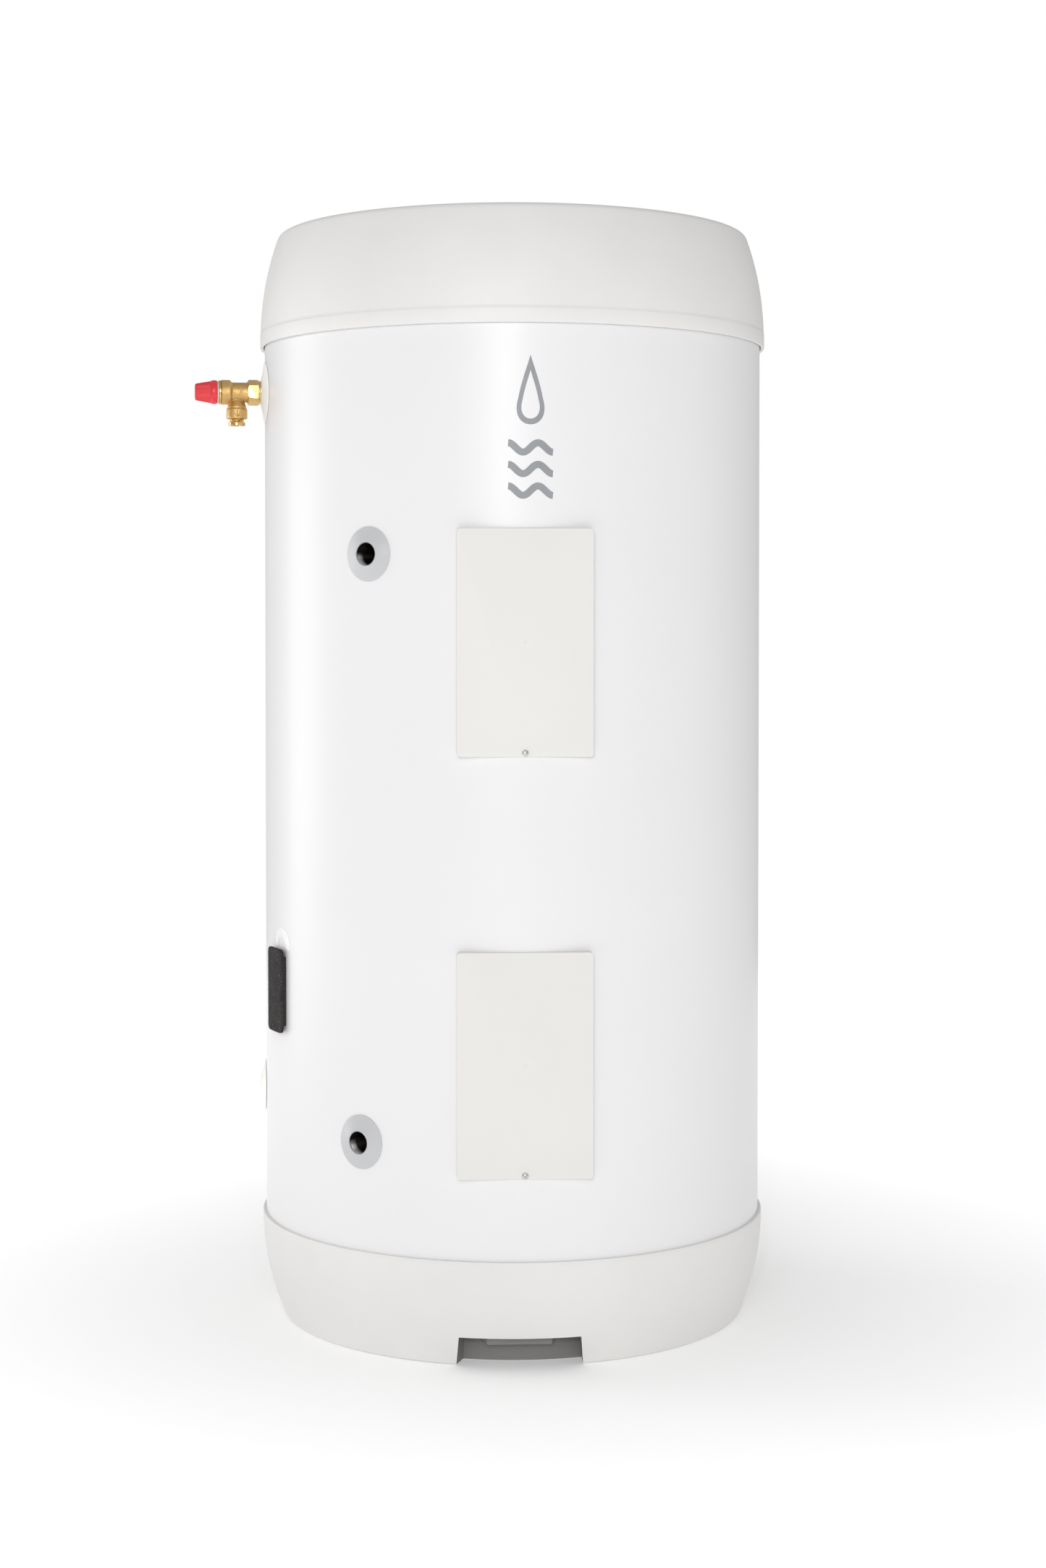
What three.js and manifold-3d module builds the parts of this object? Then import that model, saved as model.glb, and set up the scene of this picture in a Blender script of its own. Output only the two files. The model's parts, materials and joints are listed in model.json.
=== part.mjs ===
// A floor-standing hot water cylinder of about 200 litres: a steel jacket between a moulded base
// and a moulded lid, with an insulated stainless tank inside, two immersion heaters behind covers,
// a heating coil and a pressure relief valve.
// Millimetres. The origin is on the floor at the tank's axis. +Z is up and the covers face -Y.
// Angles about the axis are in degrees from the front, positive towards +X.

import * as THREE from "three";
import { mergeVertices } from "three/addons/utils/BufferGeometryUtils.js";
import Module from "manifold-3d";

const wasm = await Module();
wasm.setup();

// ---------- Driving dimensions ----------

const gap = 0.3; // between pieces that touch
const bigSides = 48; // facets round the casing
const tankSides = 32;

const jacketRadius = 290;
const sheet = 1;
const baseRimZ = 119;
const lidRimZ = 1126;
const jacketTuck = 12; // how far the jacket goes into the base and into the lid

const lidRimRadius = 295.2;
const lidSideHeight = 128;
const lidSideInset = 21.5;
const lidCornerRadius = 6;
const lidCrown = 5;
const baseRimRadius = 294;
const baseFootRadius = 270.5;
const baseBulge = 6.3; // of the side's arc, out from its chord
const mouldedWall = 3.5;
const rimClearance = 1.5; // between a moulded rim and the jacket

const tankRadius = 238;
const tankWall = 2;
const barrelBottomZ = 150;
const barrelTopZ = 1110;
const headHeight = 75;
const footRingRadius = 153;

const coverWidth = 147;
const coverHeight = 247;
const coverThickness = 2.2;
const upperCoverZ = 785.2;
const lowerCoverZ = 331;
const skirtWall = 2;
const openingInset = 5; // from the cover's edge to the opening's edge, at the top and the sides
const openingRise = 3.5; // of the opening's middle above the cover's middle, to leave room for the screw
const openingWidth = coverWidth - 2 * openingInset;
const openingHeight = coverHeight - 2 * openingInset - 2 * openingRise;

// The niche in the base's front. Its left side slants and its right side runs straight back.
const nicheLeft = -72.5;
const nicheRight = 66.5;
const nicheBackLeft = -64.5;
const nicheFrontY = -254;
const nicheBackY = -237.5;
const nicheHeight = 31.5;
const nicheBackRadius = 245;
const nicheWall = 3;

const ductRadius = 255; // from the tank's axis to the middle of the cable ducts
const ductWidth = 24;
const ductDepth = 12;

const threadRadius = 12.06; // G 3/4 female thread, at its crests
const ports = {
  coilFlow: { angle: -35.2, z: 880.6 },
  coilReturn: { angle: -37.4, z: 238.6 },
  coldInlet: { angle: -90, z: 262 },
  hotOutlet: { angle: -110, z: 1073 },
  relief: { angle: -83.5, z: 1073 },
  sensor: { angle: -69.4, z: 389 },
};

// Holes in the barrel behind the sockets.
const bores = {
  coilFlow: threadRadius,
  coilReturn: threadRadius,
  coldInlet: threadRadius,
  hotOutlet: threadRadius,
  relief: threadRadius,
};

const reliefBranchZ = 323; // from the tank's axis to the middle of the relief valve's outlet

// ---------- Materials ----------

function material(color, roughness, metalness = 0) {
  return new THREE.MeshStandardMaterial({ color, roughness, metalness });
}

const white = material(0xf2f2f2, 0.35);
const warmGrey = material(0xe6e4df, 0.5);
const coverGrey = material(0xe0ded6, 0.6);
const collarGrey = material(0xc4c5c8, 0.45);
const black = material(0x2b2a2b, 0.9);
const brass = material(0xc9a25e, 0.35, 1);
const red = material(0xe03a3a, 0.4);
const steel = material(0xb9bbbd, 0.3, 1);
const copper = material(0xb8734f, 0.35, 1);
const foam = material(0xe9dfb8, 0.95);
const bakelite = material(0x3b3a38, 0.5);
const rubber = material(0x1d1d1d, 0.8);

// ---------- Shapes ----------

// The solid of revolution about Z of a closed outline of [radius, z] points.
function revolve(outline, sides) {
  const points = outline.map(([r, z]) => new THREE.Vector2(r, z));
  const closed = outline[0][0] > 0 || outline.at(-1)[0] > 0;
  if (closed) points.push(points[0].clone());
  return new THREE.LatheGeometry(points, sides).rotateX(Math.PI / 2);
}

// A ring or disc about Z.
function ring(outer, inner, z0, z1, sides = 24) {
  const outline = [[inner, z0], [outer, z0], [outer, z1], [inner, z1]];
  return revolve(outline, sides);
}

// An outline in X and Y, extruded from z0 to z1.
function prism(shape, z0, z1, curveSegments = 6) {
  const settings = { depth: z1 - z0, bevelEnabled: false, curveSegments };
  return new THREE.ExtrudeGeometry(shape, settings).translate(0, 0, z0);
}

function polygon(points) {
  return new THREE.Shape(points.map(([x, y]) => new THREE.Vector2(x, y)));
}

function box(width, depth, height, x = 0, y = 0, z = 0) {
  return new THREE.BoxGeometry(width, depth, height).translate(x, y, z);
}

function roundedRectangle(width, height, radius) {
  const x = width / 2 - radius;
  const y = height / 2 - radius;
  const shape = new THREE.Shape();
  shape.absarc(x, y, radius, 0, Math.PI / 2);
  shape.absarc(-x, y, radius, Math.PI / 2, Math.PI);
  shape.absarc(-x, -y, radius, Math.PI, 1.5 * Math.PI);
  shape.absarc(x, -y, radius, 1.5 * Math.PI, 2 * Math.PI);
  return shape;
}

function hexagon(acrossFlats, turn = 0) {
  const corner = acrossFlats / Math.sqrt(3);
  const points = [];
  for (let i = 0; i < 6; i += 1) {
    const a = turn + (i * Math.PI) / 3;
    points.push([corner * Math.cos(a), corner * Math.sin(a)]);
  }
  return polygon(points);
}

// A solid tube of one radius along a curve.
function rod(curve, radius, steps, sides = 8) {
  const points = [];
  for (let i = 0; i < sides; i += 1) {
    const a = (2 * Math.PI * i) / sides;
    points.push([radius * Math.cos(a), radius * Math.sin(a)]);
  }
  const settings = { steps, extrudePath: curve, bevelEnabled: false };
  return new THREE.ExtrudeGeometry(polygon(points), settings);
}

function arc(centreR, centreZ, radius, from, to, steps) {
  const points = [];
  for (let i = 0; i <= steps; i += 1) {
    const a = THREE.MathUtils.degToRad(from + ((to - from) * i) / steps);
    points.push([centreR + radius * Math.cos(a), centreZ + radius * Math.sin(a)]);
  }
  return points;
}

// ---------- Joining and cutting ----------

function solid(geometry) {
  const bare = geometry.index ? geometry.toNonIndexed() : geometry.clone();
  bare.deleteAttribute("normal");
  bare.deleteAttribute("uv");
  const merged = mergeVertices(bare, 1e-3);
  return new wasm.Manifold(new wasm.Mesh({
    numProp: 3,
    vertProperties: merged.attributes.position.array,
    triVerts: new Uint32Array(merged.index.array),
  }));
}

function geometryOf(manifold) {
  const mesh = manifold.getMesh();
  const geometry = new THREE.BufferGeometry();
  geometry.setAttribute("position", new THREE.BufferAttribute(mesh.vertProperties, 3));
  geometry.setIndex(new THREE.BufferAttribute(mesh.triVerts, 1));
  return geometry;
}

function cut(geometry, ...tools) {
  return geometryOf(tools.reduce((s, tool) => s.subtract(solid(tool)), solid(geometry)));
}

function join(geometry, ...others) {
  return geometryOf(others.reduce((s, other) => s.add(solid(other)), solid(geometry)));
}

function overlap(a, b) {
  return geometryOf(solid(a).intersect(solid(b)));
}

// ---------- Places ----------

// The frame of a port: Z runs out from the tank's axis, Y is up, and X runs round the jacket.
function portMatrix({ angle, z }) {
  const a = THREE.MathUtils.degToRad(angle);
  const along = new THREE.Vector3(Math.cos(a), Math.sin(a), 0);
  const up = new THREE.Vector3(0, 0, 1);
  const out = new THREE.Vector3(Math.sin(a), -Math.cos(a), 0);
  return new THREE.Matrix4().makeBasis(along, up, out).setPosition(0, 0, z);
}

function portGroup(port) {
  const group = new THREE.Group();
  group.applyMatrix4(portMatrix(port));
  return group;
}

// A hole of one radius along a port's axis, in the part's frame.
function portHole(port, radius, from, to, sides = 16) {
  const pin = new THREE.CylinderGeometry(radius, radius, to - from, sides);
  pin.rotateX(Math.PI / 2).translate(0, 0, (from + to) / 2);
  return pin.applyMatrix4(portMatrix(port));
}

const heater = new THREE.Group();
heater.name = "hot_water_cylinder";

function add(parent, name, geometry, look) {
  const mesh = new THREE.Mesh(geometry, look);
  mesh.name = name;
  parent.add(mesh);
  return mesh;
}

// ---------- Casing ----------

function lidRadiusAt(z) {
  const share = Math.max(0, (z - lidRimZ) / lidSideHeight);
  return lidRimRadius - lidSideInset * share ** 2.25;
}

function lidSide(inset, fromZ, steps) {
  const topZ = lidRimZ + lidSideHeight - lidCornerRadius / 2;
  const points = [];
  for (let i = 0; i <= steps; i += 1) {
    const z = fromZ + ((topZ - fromZ) * i) / steps;
    points.push([lidRadiusAt(z) - inset, z]);
  }
  return points;
}

function topLid() {
  const topZ = lidRimZ + lidSideHeight;
  const side = lidSide(0, lidRimZ, 6);
  const cornerR = side.at(-1)[0];
  const inner = lidSide(mouldedWall, lidRimZ + jacketTuck + 3, 3);
  return revolve([
    [jacketRadius + rimClearance, lidRimZ],
    ...side,
    [cornerR - 2.2, topZ + 1],
    [cornerR - lidCornerRadius, topZ + 2.6],
    [cornerR / 2, topZ + lidCrown + 1],
    [0, topZ + lidCrown + 2],
    [0, topZ + lidCrown + 2 - mouldedWall],
    ...inner.reverse(),
    [jacketRadius - mouldedWall, lidRimZ + jacketTuck + 2 * gap + 1],
    [jacketRadius + rimClearance - 0.5, lidRimZ + jacketTuck + gap],
  ], bigSides);
}

// The base's outer side is one arc from its foot to its rim.
function baseSide(inset, steps, fromZ, toZ) {
  const footZ = 3;
  const chord = new THREE.Vector2(baseRimRadius - baseFootRadius, baseRimZ - footZ);
  const half = chord.length() / 2;
  const radius = (half ** 2 + baseBulge ** 2) / (2 * baseBulge);
  const outward = new THREE.Vector2(chord.y, -chord.x).normalize();
  const middle = new THREE.Vector2(baseFootRadius, footZ).addScaledVector(chord, 0.5);
  const centre = middle.addScaledVector(outward, baseBulge - radius);
  const points = [];
  for (let i = 0; i <= steps; i += 1) {
    const z = fromZ + ((toZ - fromZ) * i) / steps;
    const r = centre.x + Math.sqrt(radius ** 2 - (z - centre.y) ** 2);
    points.push([r - inset, z]);
  }
  return points;
}

function nichePlan(grow, backRadius) {
  const front = -baseRimRadius - 10;
  const slant = (nicheBackLeft - nicheLeft) / (nicheBackY - nicheFrontY);
  const backLeft = nicheBackLeft - grow;
  const right = nicheRight + grow;
  const points = [[backLeft + slant * (front - nicheBackY), front], [right, front]];
  const steps = 5;
  for (let i = 0; i <= steps; i += 1) {
    const x = right + ((backLeft - right) * i) / steps;
    points.push([x, -Math.sqrt(backRadius ** 2 - x ** 2)]);
  }
  return polygon(points);
}

function basePlinth() {
  const floor = 4;
  const ledgeZ = baseRimZ - jacketTuck - gap;
  const bowl = revolve([
    [0, 0],
    [baseFootRadius - 3, 0],
    ...baseSide(0, 6, 3, baseRimZ),
    [jacketRadius + rimClearance, baseRimZ],
    [jacketRadius + 0.6, ledgeZ],
    [jacketRadius - mouldedWall, ledgeZ],
    ...baseSide(mouldedWall, 2, floor, ledgeZ - 12).reverse(),
    [0, floor],
  ], bigSides);
  const inside = revolve([
    [0, 0],
    [baseFootRadius - 3, 0],
    ...baseSide(0, 6, 3, baseRimZ).slice(0, 4),
    [0, 3 + (baseRimZ - 3) / 2],
  ], bigSides);
  const walls = prism(nichePlan(nicheWall, nicheBackRadius - nicheWall), 0, nicheHeight + nicheWall);
  const hollow = prism(nichePlan(0, nicheBackRadius), -5, nicheHeight);
  const ductHole = ductBox(0.6, -1, nicheHeight + 10);
  return cut(join(bowl, overlap(walls, inside)), hollow, ductHole);
}

function jacket() {
  const bottomZ = baseRimZ - jacketTuck;
  const topZ = lidRimZ + jacketTuck;
  const tube = ring(jacketRadius, jacketRadius - sheet, bottomZ, topZ, bigSides);
  const middleZ = (baseRimZ + lidRimZ) / 2;
  const seam = box(12, 1.6, lidRimZ - baseRimZ - 4, 0, jacketRadius, middleZ);
  const openings = [upperCoverZ, lowerCoverZ].flatMap((z) => [
    openingBox(z, openingWidth, openingHeight),
    screwHole(z, 2.9),
  ]);
  const holes = Object.keys(bores).map((name) => portHole(ports[name], 17.5, 250, 300));
  return cut(join(tube, seam), ...openings, ...holes, portHole(ports.sensor, 6.5, 250, 300));
}

// ---------- Element covers ----------

const screwRise = 5; // from the cover's bottom edge to its screw

function screwZ(coverZ) {
  return coverZ - coverHeight / 2 + screwRise;
}

function screwHole(coverZ, radius) {
  return portHole({ angle: 0, z: screwZ(coverZ) }, radius, 270, 300, 12);
}

// A block through the casing's front at one of its two openings.
function openingBox(coverZ, width, height) {
  return box(width, 80, height, 0, -265, coverZ + openingRise);
}

// A rounded rectangle about Z = 0, extruded along Y from the back to the front.
function frontPrism(width, height, corner, backY, frontY, curveSegments = 2) {
  const shape = roundedRectangle(width, height, corner);
  const block = prism(shape, -backY, -frontY, curveSegments);
  return block.rotateX(Math.PI / 2);
}

function curvedPlate(width, height, corner, inner, outer) {
  const shell = ring(outer, inner, -height, height, bigSides);
  return overlap(shell, frontPrism(width, height, corner, 0, -outer - 20));
}

// A flat plate with a skirt that reaches back to the jacket.
function cover(coverZ) {
  const backY = -jacketRadius - gap;
  const faceY = backY - coverThickness;
  const clear = revolve([
    [0, -200],
    [jacketRadius + gap, -200],
    [jacketRadius + gap, 200],
    [0, 200],
  ], bigSides);
  const hole = new THREE.CylinderGeometry(2.1, 2.1, 20, 12);
  hole.translate(0, -jacketRadius, screwZ(0));
  return cut(
    frontPrism(coverWidth, coverHeight, 4, -270, faceY, 3),
    clear,
    box(coverWidth - 2 * skirtWall, 100, coverHeight - 2 * skirtWall, 0, backY + 50, 0),
    hole,
  ).translate(0, 0, coverZ);
}

function coverScrew() {
  const face = jacketRadius + gap + coverThickness + gap;
  const outline = [
    [0, face - 14],
    [1.2, face - 12.5],
    [1.7, face - 12],
    [1.7, face],
    [3.5, face],
    [3.3, face + 1.2],
    [2.2, face + 2],
    [0, face + 2.3],
  ];
  const slots = [
    box(3.6, 0.7, 2, 0, 0, face + 2.2),
    box(0.7, 3.6, 2, 0, 0, face + 2.2),
  ];
  return cut(revolve(outline, 16), ...slots);
}

// ---------- Tank ----------

function tankHead() {
  const outer = [];
  const inner = [];
  const steps = 4;
  for (let i = 0; i <= steps; i += 1) {
    const a = (Math.PI / 2) * (i / steps);
    outer.push([tankRadius * Math.cos(a), headHeight * Math.sin(a)]);
    const r = (tankRadius - tankWall) * Math.cos(a);
    inner.push([r, (headHeight - tankWall) * Math.sin(a)]);
  }
  outer[steps][0] = 0;
  inner[steps][0] = 0;
  return revolve([...outer, ...inner.reverse()], tankSides);
}

function barrel() {
  const tube = ring(tankRadius, tankRadius - tankWall, barrelBottomZ, barrelTopZ, tankSides);
  const holes = Object.entries(bores).map(([name, radius]) =>
    portHole(ports[name], radius, 200, 260, 12));
  const elements = [upperCoverZ, lowerCoverZ].map((z) =>
    portHole({ angle: 0, z: z - elementDrop }, 21.5, 200, 260));
  return cut(tube, ...holes, ...elements, portHole(ports.sensor, 6, 200, 260, 12));
}

function headRadiusAt(r) {
  return headHeight * Math.sqrt(1 - (r / tankRadius) ** 2);
}

// ---------- Sockets and collars ----------

const socketFace = jacketRadius + 6.2;

function socket() {
  const start = tankRadius + 0.6;
  return revolve([
    [threadRadius, start],
    [16.5, start],
    [16.5, jacketRadius + 2],
    [13.5, jacketRadius + 2],
    [13.5, socketFace],
    [threadRadius, socketFace],
  ], 20);
}

// Moves a disc about a port's axis so that its rim lies on the jacket.
function drape(geometry, tipRadius, rimRadius) {
  const at = geometry.attributes.position;
  for (let i = 0; i < at.count; i += 1) {
    const x = at.getX(i);
    const r = Math.hypot(x, at.getY(i));
    const share = THREE.MathUtils.smoothstep(r, tipRadius, rimRadius);
    const drop = jacketRadius - Math.sqrt(jacketRadius ** 2 - x ** 2);
    at.setZ(i, at.getZ(i) - drop * share);
  }
  return geometry;
}

function collar(rimRadius, tipHeight) {
  const tip = jacketRadius + tipHeight;
  const foot = jacketRadius + gap + 0.3;
  const bore = 13.9;
  const flat = revolve([
    [17.2, foot],
    [rimRadius, foot],
    [rimRadius, foot + 0.9],
    [(rimRadius + bore) / 2, (foot + 0.9 + tip) / 2 - 0.3],
    [bore + 0.9, tip],
    [bore, tip],
    [bore, jacketRadius + 2.4],
    [17.2, jacketRadius + 2.4],
  ], 24);
  return drape(flat, bore, rimRadius);
}

// ---------- Immersion heaters ----------

const elementDrop = 45; // from the cover's middle down to the element
const thermostatRise = 48; // from the cover's middle up to the thermostat

function pocketLiner(coverZ) {
  const width = openingWidth - 1;
  const height = openingHeight - 1;
  const room = ring(jacketRadius - 8.5, tankRadius + 0.8, coverZ - 150, coverZ + 150, tankSides);
  const walls = overlap(
    cut(openingBox(coverZ, width, height), openingBox(coverZ, width - 4, height - 4)),
    room,
  );
  const ductTop = coverZ > lowerCoverZ ? coverZ : coverZ + 150;
  return cut(walls, ductBox(0.4, coverZ - 150, ductTop));
}

function elementBoss() {
  return ring(30, 21.4, tankRadius + 0.6, 250, 24);
}

function elementGasket() {
  return ring(28, 21.4, 250 + gap, 252.3, 24);
}

function elementHead() {
  const start = 252.6;
  const nut = prism(hexagon(50), start, start + 9);
  const spigot = new THREE.CylinderGeometry(20.8, 20.8, 20, 24);
  spigot.rotateX(Math.PI / 2).translate(0, 0, start - 9);
  const cap = new THREE.CylinderGeometry(18, 18, 5, 24);
  cap.rotateX(Math.PI / 2).translate(0, 0, start + 10);
  const studs = [-9, 0, 9].map((x) => {
    const stud = new THREE.CylinderGeometry(2.5, 2.5, 10, 10);
    return stud.rotateX(Math.PI / 2).translate(x, x ? 0 : 9, start + 17);
  });
  return join(nut, spigot, cap, ...studs);
}

// One hairpin: in from the head, round, and back.
function elementRod() {
  const startZ = 233;
  const turnZ = -20;
  const half = 10;
  const route = [new THREE.Vector3(half, 0, startZ), new THREE.Vector3(half, 0, 60)];
  for (let i = 0; i <= 6; i += 1) {
    const a = (Math.PI * i) / 6;
    route.push(new THREE.Vector3(half * Math.cos(a), 0, turnZ - half * Math.sin(a)));
  }
  route.push(new THREE.Vector3(-half, 0, 60), new THREE.Vector3(-half, 0, startZ));
  return rod(new THREE.CatmullRomCurve3(route, false, "centripetal"), 4.2, 32, 6);
}

// The lead from the thermostat down to the element's upper stud.
function twinLead() {
  const section = roundedRectangle(3, 6, 1.3);
  const from = thermostatRise - 42 - 2 * gap;
  const route = new THREE.CatmullRomCurve3([
    new THREE.Vector3(0, from, 256),
    new THREE.Vector3(0, from - 8, 257),
    new THREE.Vector3(0, from - 22, 266),
    new THREE.Vector3(0, 9 - elementDrop + 3.8, 271),
  ]);
  const settings = { steps: 10, extrudePath: route, bevelEnabled: false, curveSegments: 1 };
  return new THREE.ExtrudeGeometry(section, settings);
}

const thermostatFace = 264;
const dialY = 22;
const buttonY = -22;

function thermostat() {
  const depth = thermostatFace - tankRadius - 1;
  const body = prism(roundedRectangle(46, 84, 4), thermostatFace - depth, thermostatFace, 1);
  const bore = new THREE.CylinderGeometry(4.2, 4.2, 12, 12);
  bore.rotateX(Math.PI / 2).translate(0, buttonY, thermostatFace);
  const stem = new THREE.CylinderGeometry(3.4, 3.4, 10, 12);
  stem.rotateX(Math.PI / 2).translate(0, dialY, thermostatFace);
  return cut(body, bore, stem);
}

function dial() {
  const outline = [
    [0, thermostatFace - 4],
    [3, thermostatFace - 4],
    [3, thermostatFace + gap],
    [11, thermostatFace + gap],
    [11, thermostatFace + 3.5],
    [10, thermostatFace + 4.5],
    [0, thermostatFace + 4.5],
  ];
  const slot = box(12, 2, 3, 0, 0, thermostatFace + 4.5);
  const mark = box(1.2, 4, 2, 0, 9, thermostatFace + 4.5);
  return cut(revolve(outline, 24), slot, mark).translate(0, dialY, 0);
}

function resetButton() {
  return new THREE.CylinderGeometry(3.6, 3.8, 6.5, 16)
    .rotateX(Math.PI / 2)
    .translate(0, buttonY, thermostatFace + 0.25);
}

// ---------- Coil and pipes ----------

function tankPoint(radius, angle, z) {
  const a = THREE.MathUtils.degToRad(angle);
  return new THREE.Vector3(radius * Math.sin(a), -radius * Math.cos(a), z);
}

function heatingCoil() {
  const turns = 6;
  const coilRadius = 150;
  const bottomZ = 330;
  const pitch = 46;
  const { coilReturn, coilFlow } = ports;
  const inside = tankRadius - 6;
  const points = [
    tankPoint(inside, coilReturn.angle, coilReturn.z),
    tankPoint(inside - 30, coilReturn.angle, coilReturn.z),
    tankPoint(coilRadius + 24, coilReturn.angle - 3, coilReturn.z + 18),
    tankPoint(coilRadius + 4, coilReturn.angle - 14, coilReturn.z + 62),
  ];
  const perTurn = 8;
  const firstAngle = coilReturn.angle - 36;
  for (let i = 0; i <= turns * perTurn; i += 1) {
    const angle = firstAngle - (360 * i) / perTurn;
    points.push(tankPoint(coilRadius, angle, bottomZ + (pitch * i) / perTurn));
  }
  const topZ = bottomZ + pitch * turns;
  points.push(
    tankPoint(coilRadius, firstAngle - 24, topZ + 30),
    tankPoint(coilRadius, coilFlow.angle - 40, topZ + 110),
    tankPoint(coilRadius, coilFlow.angle - 12, coilFlow.z - 80),
    tankPoint(coilRadius + 10, coilFlow.angle - 2, coilFlow.z - 22),
    tankPoint(inside - 40, coilFlow.angle, coilFlow.z),
    tankPoint(inside, coilFlow.angle, coilFlow.z),
  );
  return rod(new THREE.CatmullRomCurve3(points), 10.5, 96, 6);
}

// A pipe that goes in from a port, turns, and runs up or down to endZ.
function innerPipe(port, turnRadius, endZ, radius) {
  const bend = 22;
  const side = Math.sign(endZ - port.z);
  const route = new THREE.CatmullRomCurve3([
    tankPoint(tankRadius - 6, port.angle, port.z),
    tankPoint(turnRadius + bend, port.angle, port.z),
    tankPoint(turnRadius + bend * 0.3, port.angle, port.z + side * bend * 0.3),
    tankPoint(turnRadius, port.angle, port.z + side * bend),
    tankPoint(turnRadius, port.angle, endZ),
  ], false, "centripetal");
  return rod(route, radius, 12);
}

// ---------- Insulation ----------

function ductBox(grow, fromZ, toZ) {
  const middle = (fromZ + toZ) / 2;
  return box(ductWidth + 2 * grow, ductDepth + 2 * grow, toZ - fromZ, 0, -ductRadius, middle);
}

function cableDuct(fromZ, toZ) {
  const inside = ductBox(-1.5, fromZ - 5, toZ + 5);
  return cut(ductBox(0, fromZ, toZ), inside);
}

function insulationBody() {
  const outer = jacketRadius - sheet - 0.9;
  const tube = ring(outer, tankRadius + 2.5, baseRimZ + 2, lidRimZ - 2, tankSides);
  const pockets = [upperCoverZ, lowerCoverZ].flatMap((z) => [
    openingBox(z, openingWidth + 1, openingHeight + 1),
    box(10, 30, 10, 0, -jacketRadius, screwZ(z)),
  ]);
  const holes = Object.keys(bores).map((name) => portHole(ports[name], 17.2, 200, 320, 12));
  const ducts = [ductBox(0.5, 100, lowerCoverZ), ductBox(0.5, lowerCoverZ, upperCoverZ)];
  return cut(tube, ...pockets, ...holes, portHole(ports.sensor, 6, 200, 320, 12), ...ducts);
}

function insulationTop() {
  const bottomZ = lidRimZ - 1.6;
  const dome = [];
  const steps = 4;
  for (let i = 0; i <= steps; i += 1) {
    const a = (Math.PI / 2) * (i / steps);
    const z = barrelTopZ + 3 + (headHeight + 4) * Math.sin(a);
    dome.push([i === steps ? 0 : (tankRadius + 4) * Math.cos(a), Math.max(z, bottomZ)]);
  }
  return revolve([
    ...dome.reverse(),
    [jacketRadius - 4.5, bottomZ],
    [jacketRadius - 4.5, lidRimZ + 60],
    [jacketRadius - 14, lidRimZ + 104],
    [jacketRadius - 26, lidRimZ + lidSideHeight - 6],
    [0, lidRimZ + lidSideHeight - 2],
  ], tankSides);
}

function insulationBase() {
  const topZ = baseRimZ + 1.6;
  const inner = footRingRadius + 2;
  const hollow = [];
  for (let i = 0; i <= 2; i += 1) {
    const r = inner + ((tankRadius - 18 - inner) * i) / 2;
    hollow.push([r, Math.min(topZ, barrelBottomZ - 5 - headRadiusAt(r - 2))]);
  }
  const foamRing = revolve([
    [inner, 4.6],
    [baseFootRadius - 12, 4.6],
    [baseFootRadius + 7, 75],
    [jacketRadius - 7, topZ],
    ...hollow.reverse(),
  ], tankSides);
  const plan = nichePlan(nicheWall + 1, nicheBackRadius - nicheWall - 1);
  return cut(foamRing, prism(plan, 0, nicheHeight + 4), ductBox(0.5, 0, 140));
}

function footRing() {
  const inner = footRingRadius - 3;
  const topZ = barrelBottomZ - gap - headRadiusAt(inner - 2) - 1;
  return ring(footRingRadius, inner, 4.4, topZ, tankSides);
}

// ---------- Cable outlet in the base's niche ----------

const outletHang = 8.7; // how far the cable outlet's underside is below the niche's ceiling

// A block under the niche's ceiling, wider at its back, with a hole for the supply cable.
function cableOutlet() {
  const top = nicheHeight - gap;
  const plan = polygon([
    [-40.3, -265],
    [30.5, -265],
    [38.5, -241],
    [-48.3, -241],
  ]);
  const block = prism(plan, nicheHeight - outletHang, top);
  const room = ring(300, nicheBackRadius + 1.2, 0, 60, bigSides);
  return cut(overlap(block, room), portCable(5.5, 0, 40, 16));
}

function portCable(radius, fromZ, toZ, sides) {
  const pin = new THREE.CylinderGeometry(radius, radius, toZ - fromZ, sides);
  return pin.rotateX(Math.PI / 2).translate(0, -ductRadius, (fromZ + toZ) / 2);
}

function cableGrommet() {
  const bottom = nicheHeight - outletHang;
  const outline = [
    [3.6, bottom - 0.8],
    [4.6, bottom - 0.8],
    [5.2, bottom],
    [5.2, bottom + 7],
    [3.6, bottom + 7],
  ];
  return revolve(outline, 16).translate(0, -ductRadius, 0);
}

// ---------- Sensor ----------

function sensorPocket() {
  const tip = 180;
  const mouth = jacketRadius - 2;
  return revolve([
    [0, tip],
    [4.5, tip],
    [5, tip + 2],
    [5, mouth],
    [4, mouth],
    [4, tip + 4],
    [0, tip + 4],
  ], 12);
}

// A gasket round the sensor pocket's mouth, and the foam pad that closes it.
function sensorGasket() {
  const inner = jacketRadius + gap + 0.2;
  const mouth = portHole({ angle: 0, z: 0 }, 6.5, 250, 320, 12);
  return cut(curvedPlate(50, 78, 2, inner, inner + 3.2), mouth);
}

function sensorPad() {
  const inner = jacketRadius + gap + 3.8;
  return curvedPlate(38.4, 95, 6, inner, inner + 3.5);
}

// ---------- Relief valve ----------

// Places along the valve's axis, from the tank's axis.
const valveNeckZ = 297.4;
const valveHexZ = 310.6;
const valveChestZ = 330.2;
const valveChestEndZ = 341;
const valveBonnetEndZ = 344;
const valveSeatZ = 318;

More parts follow.
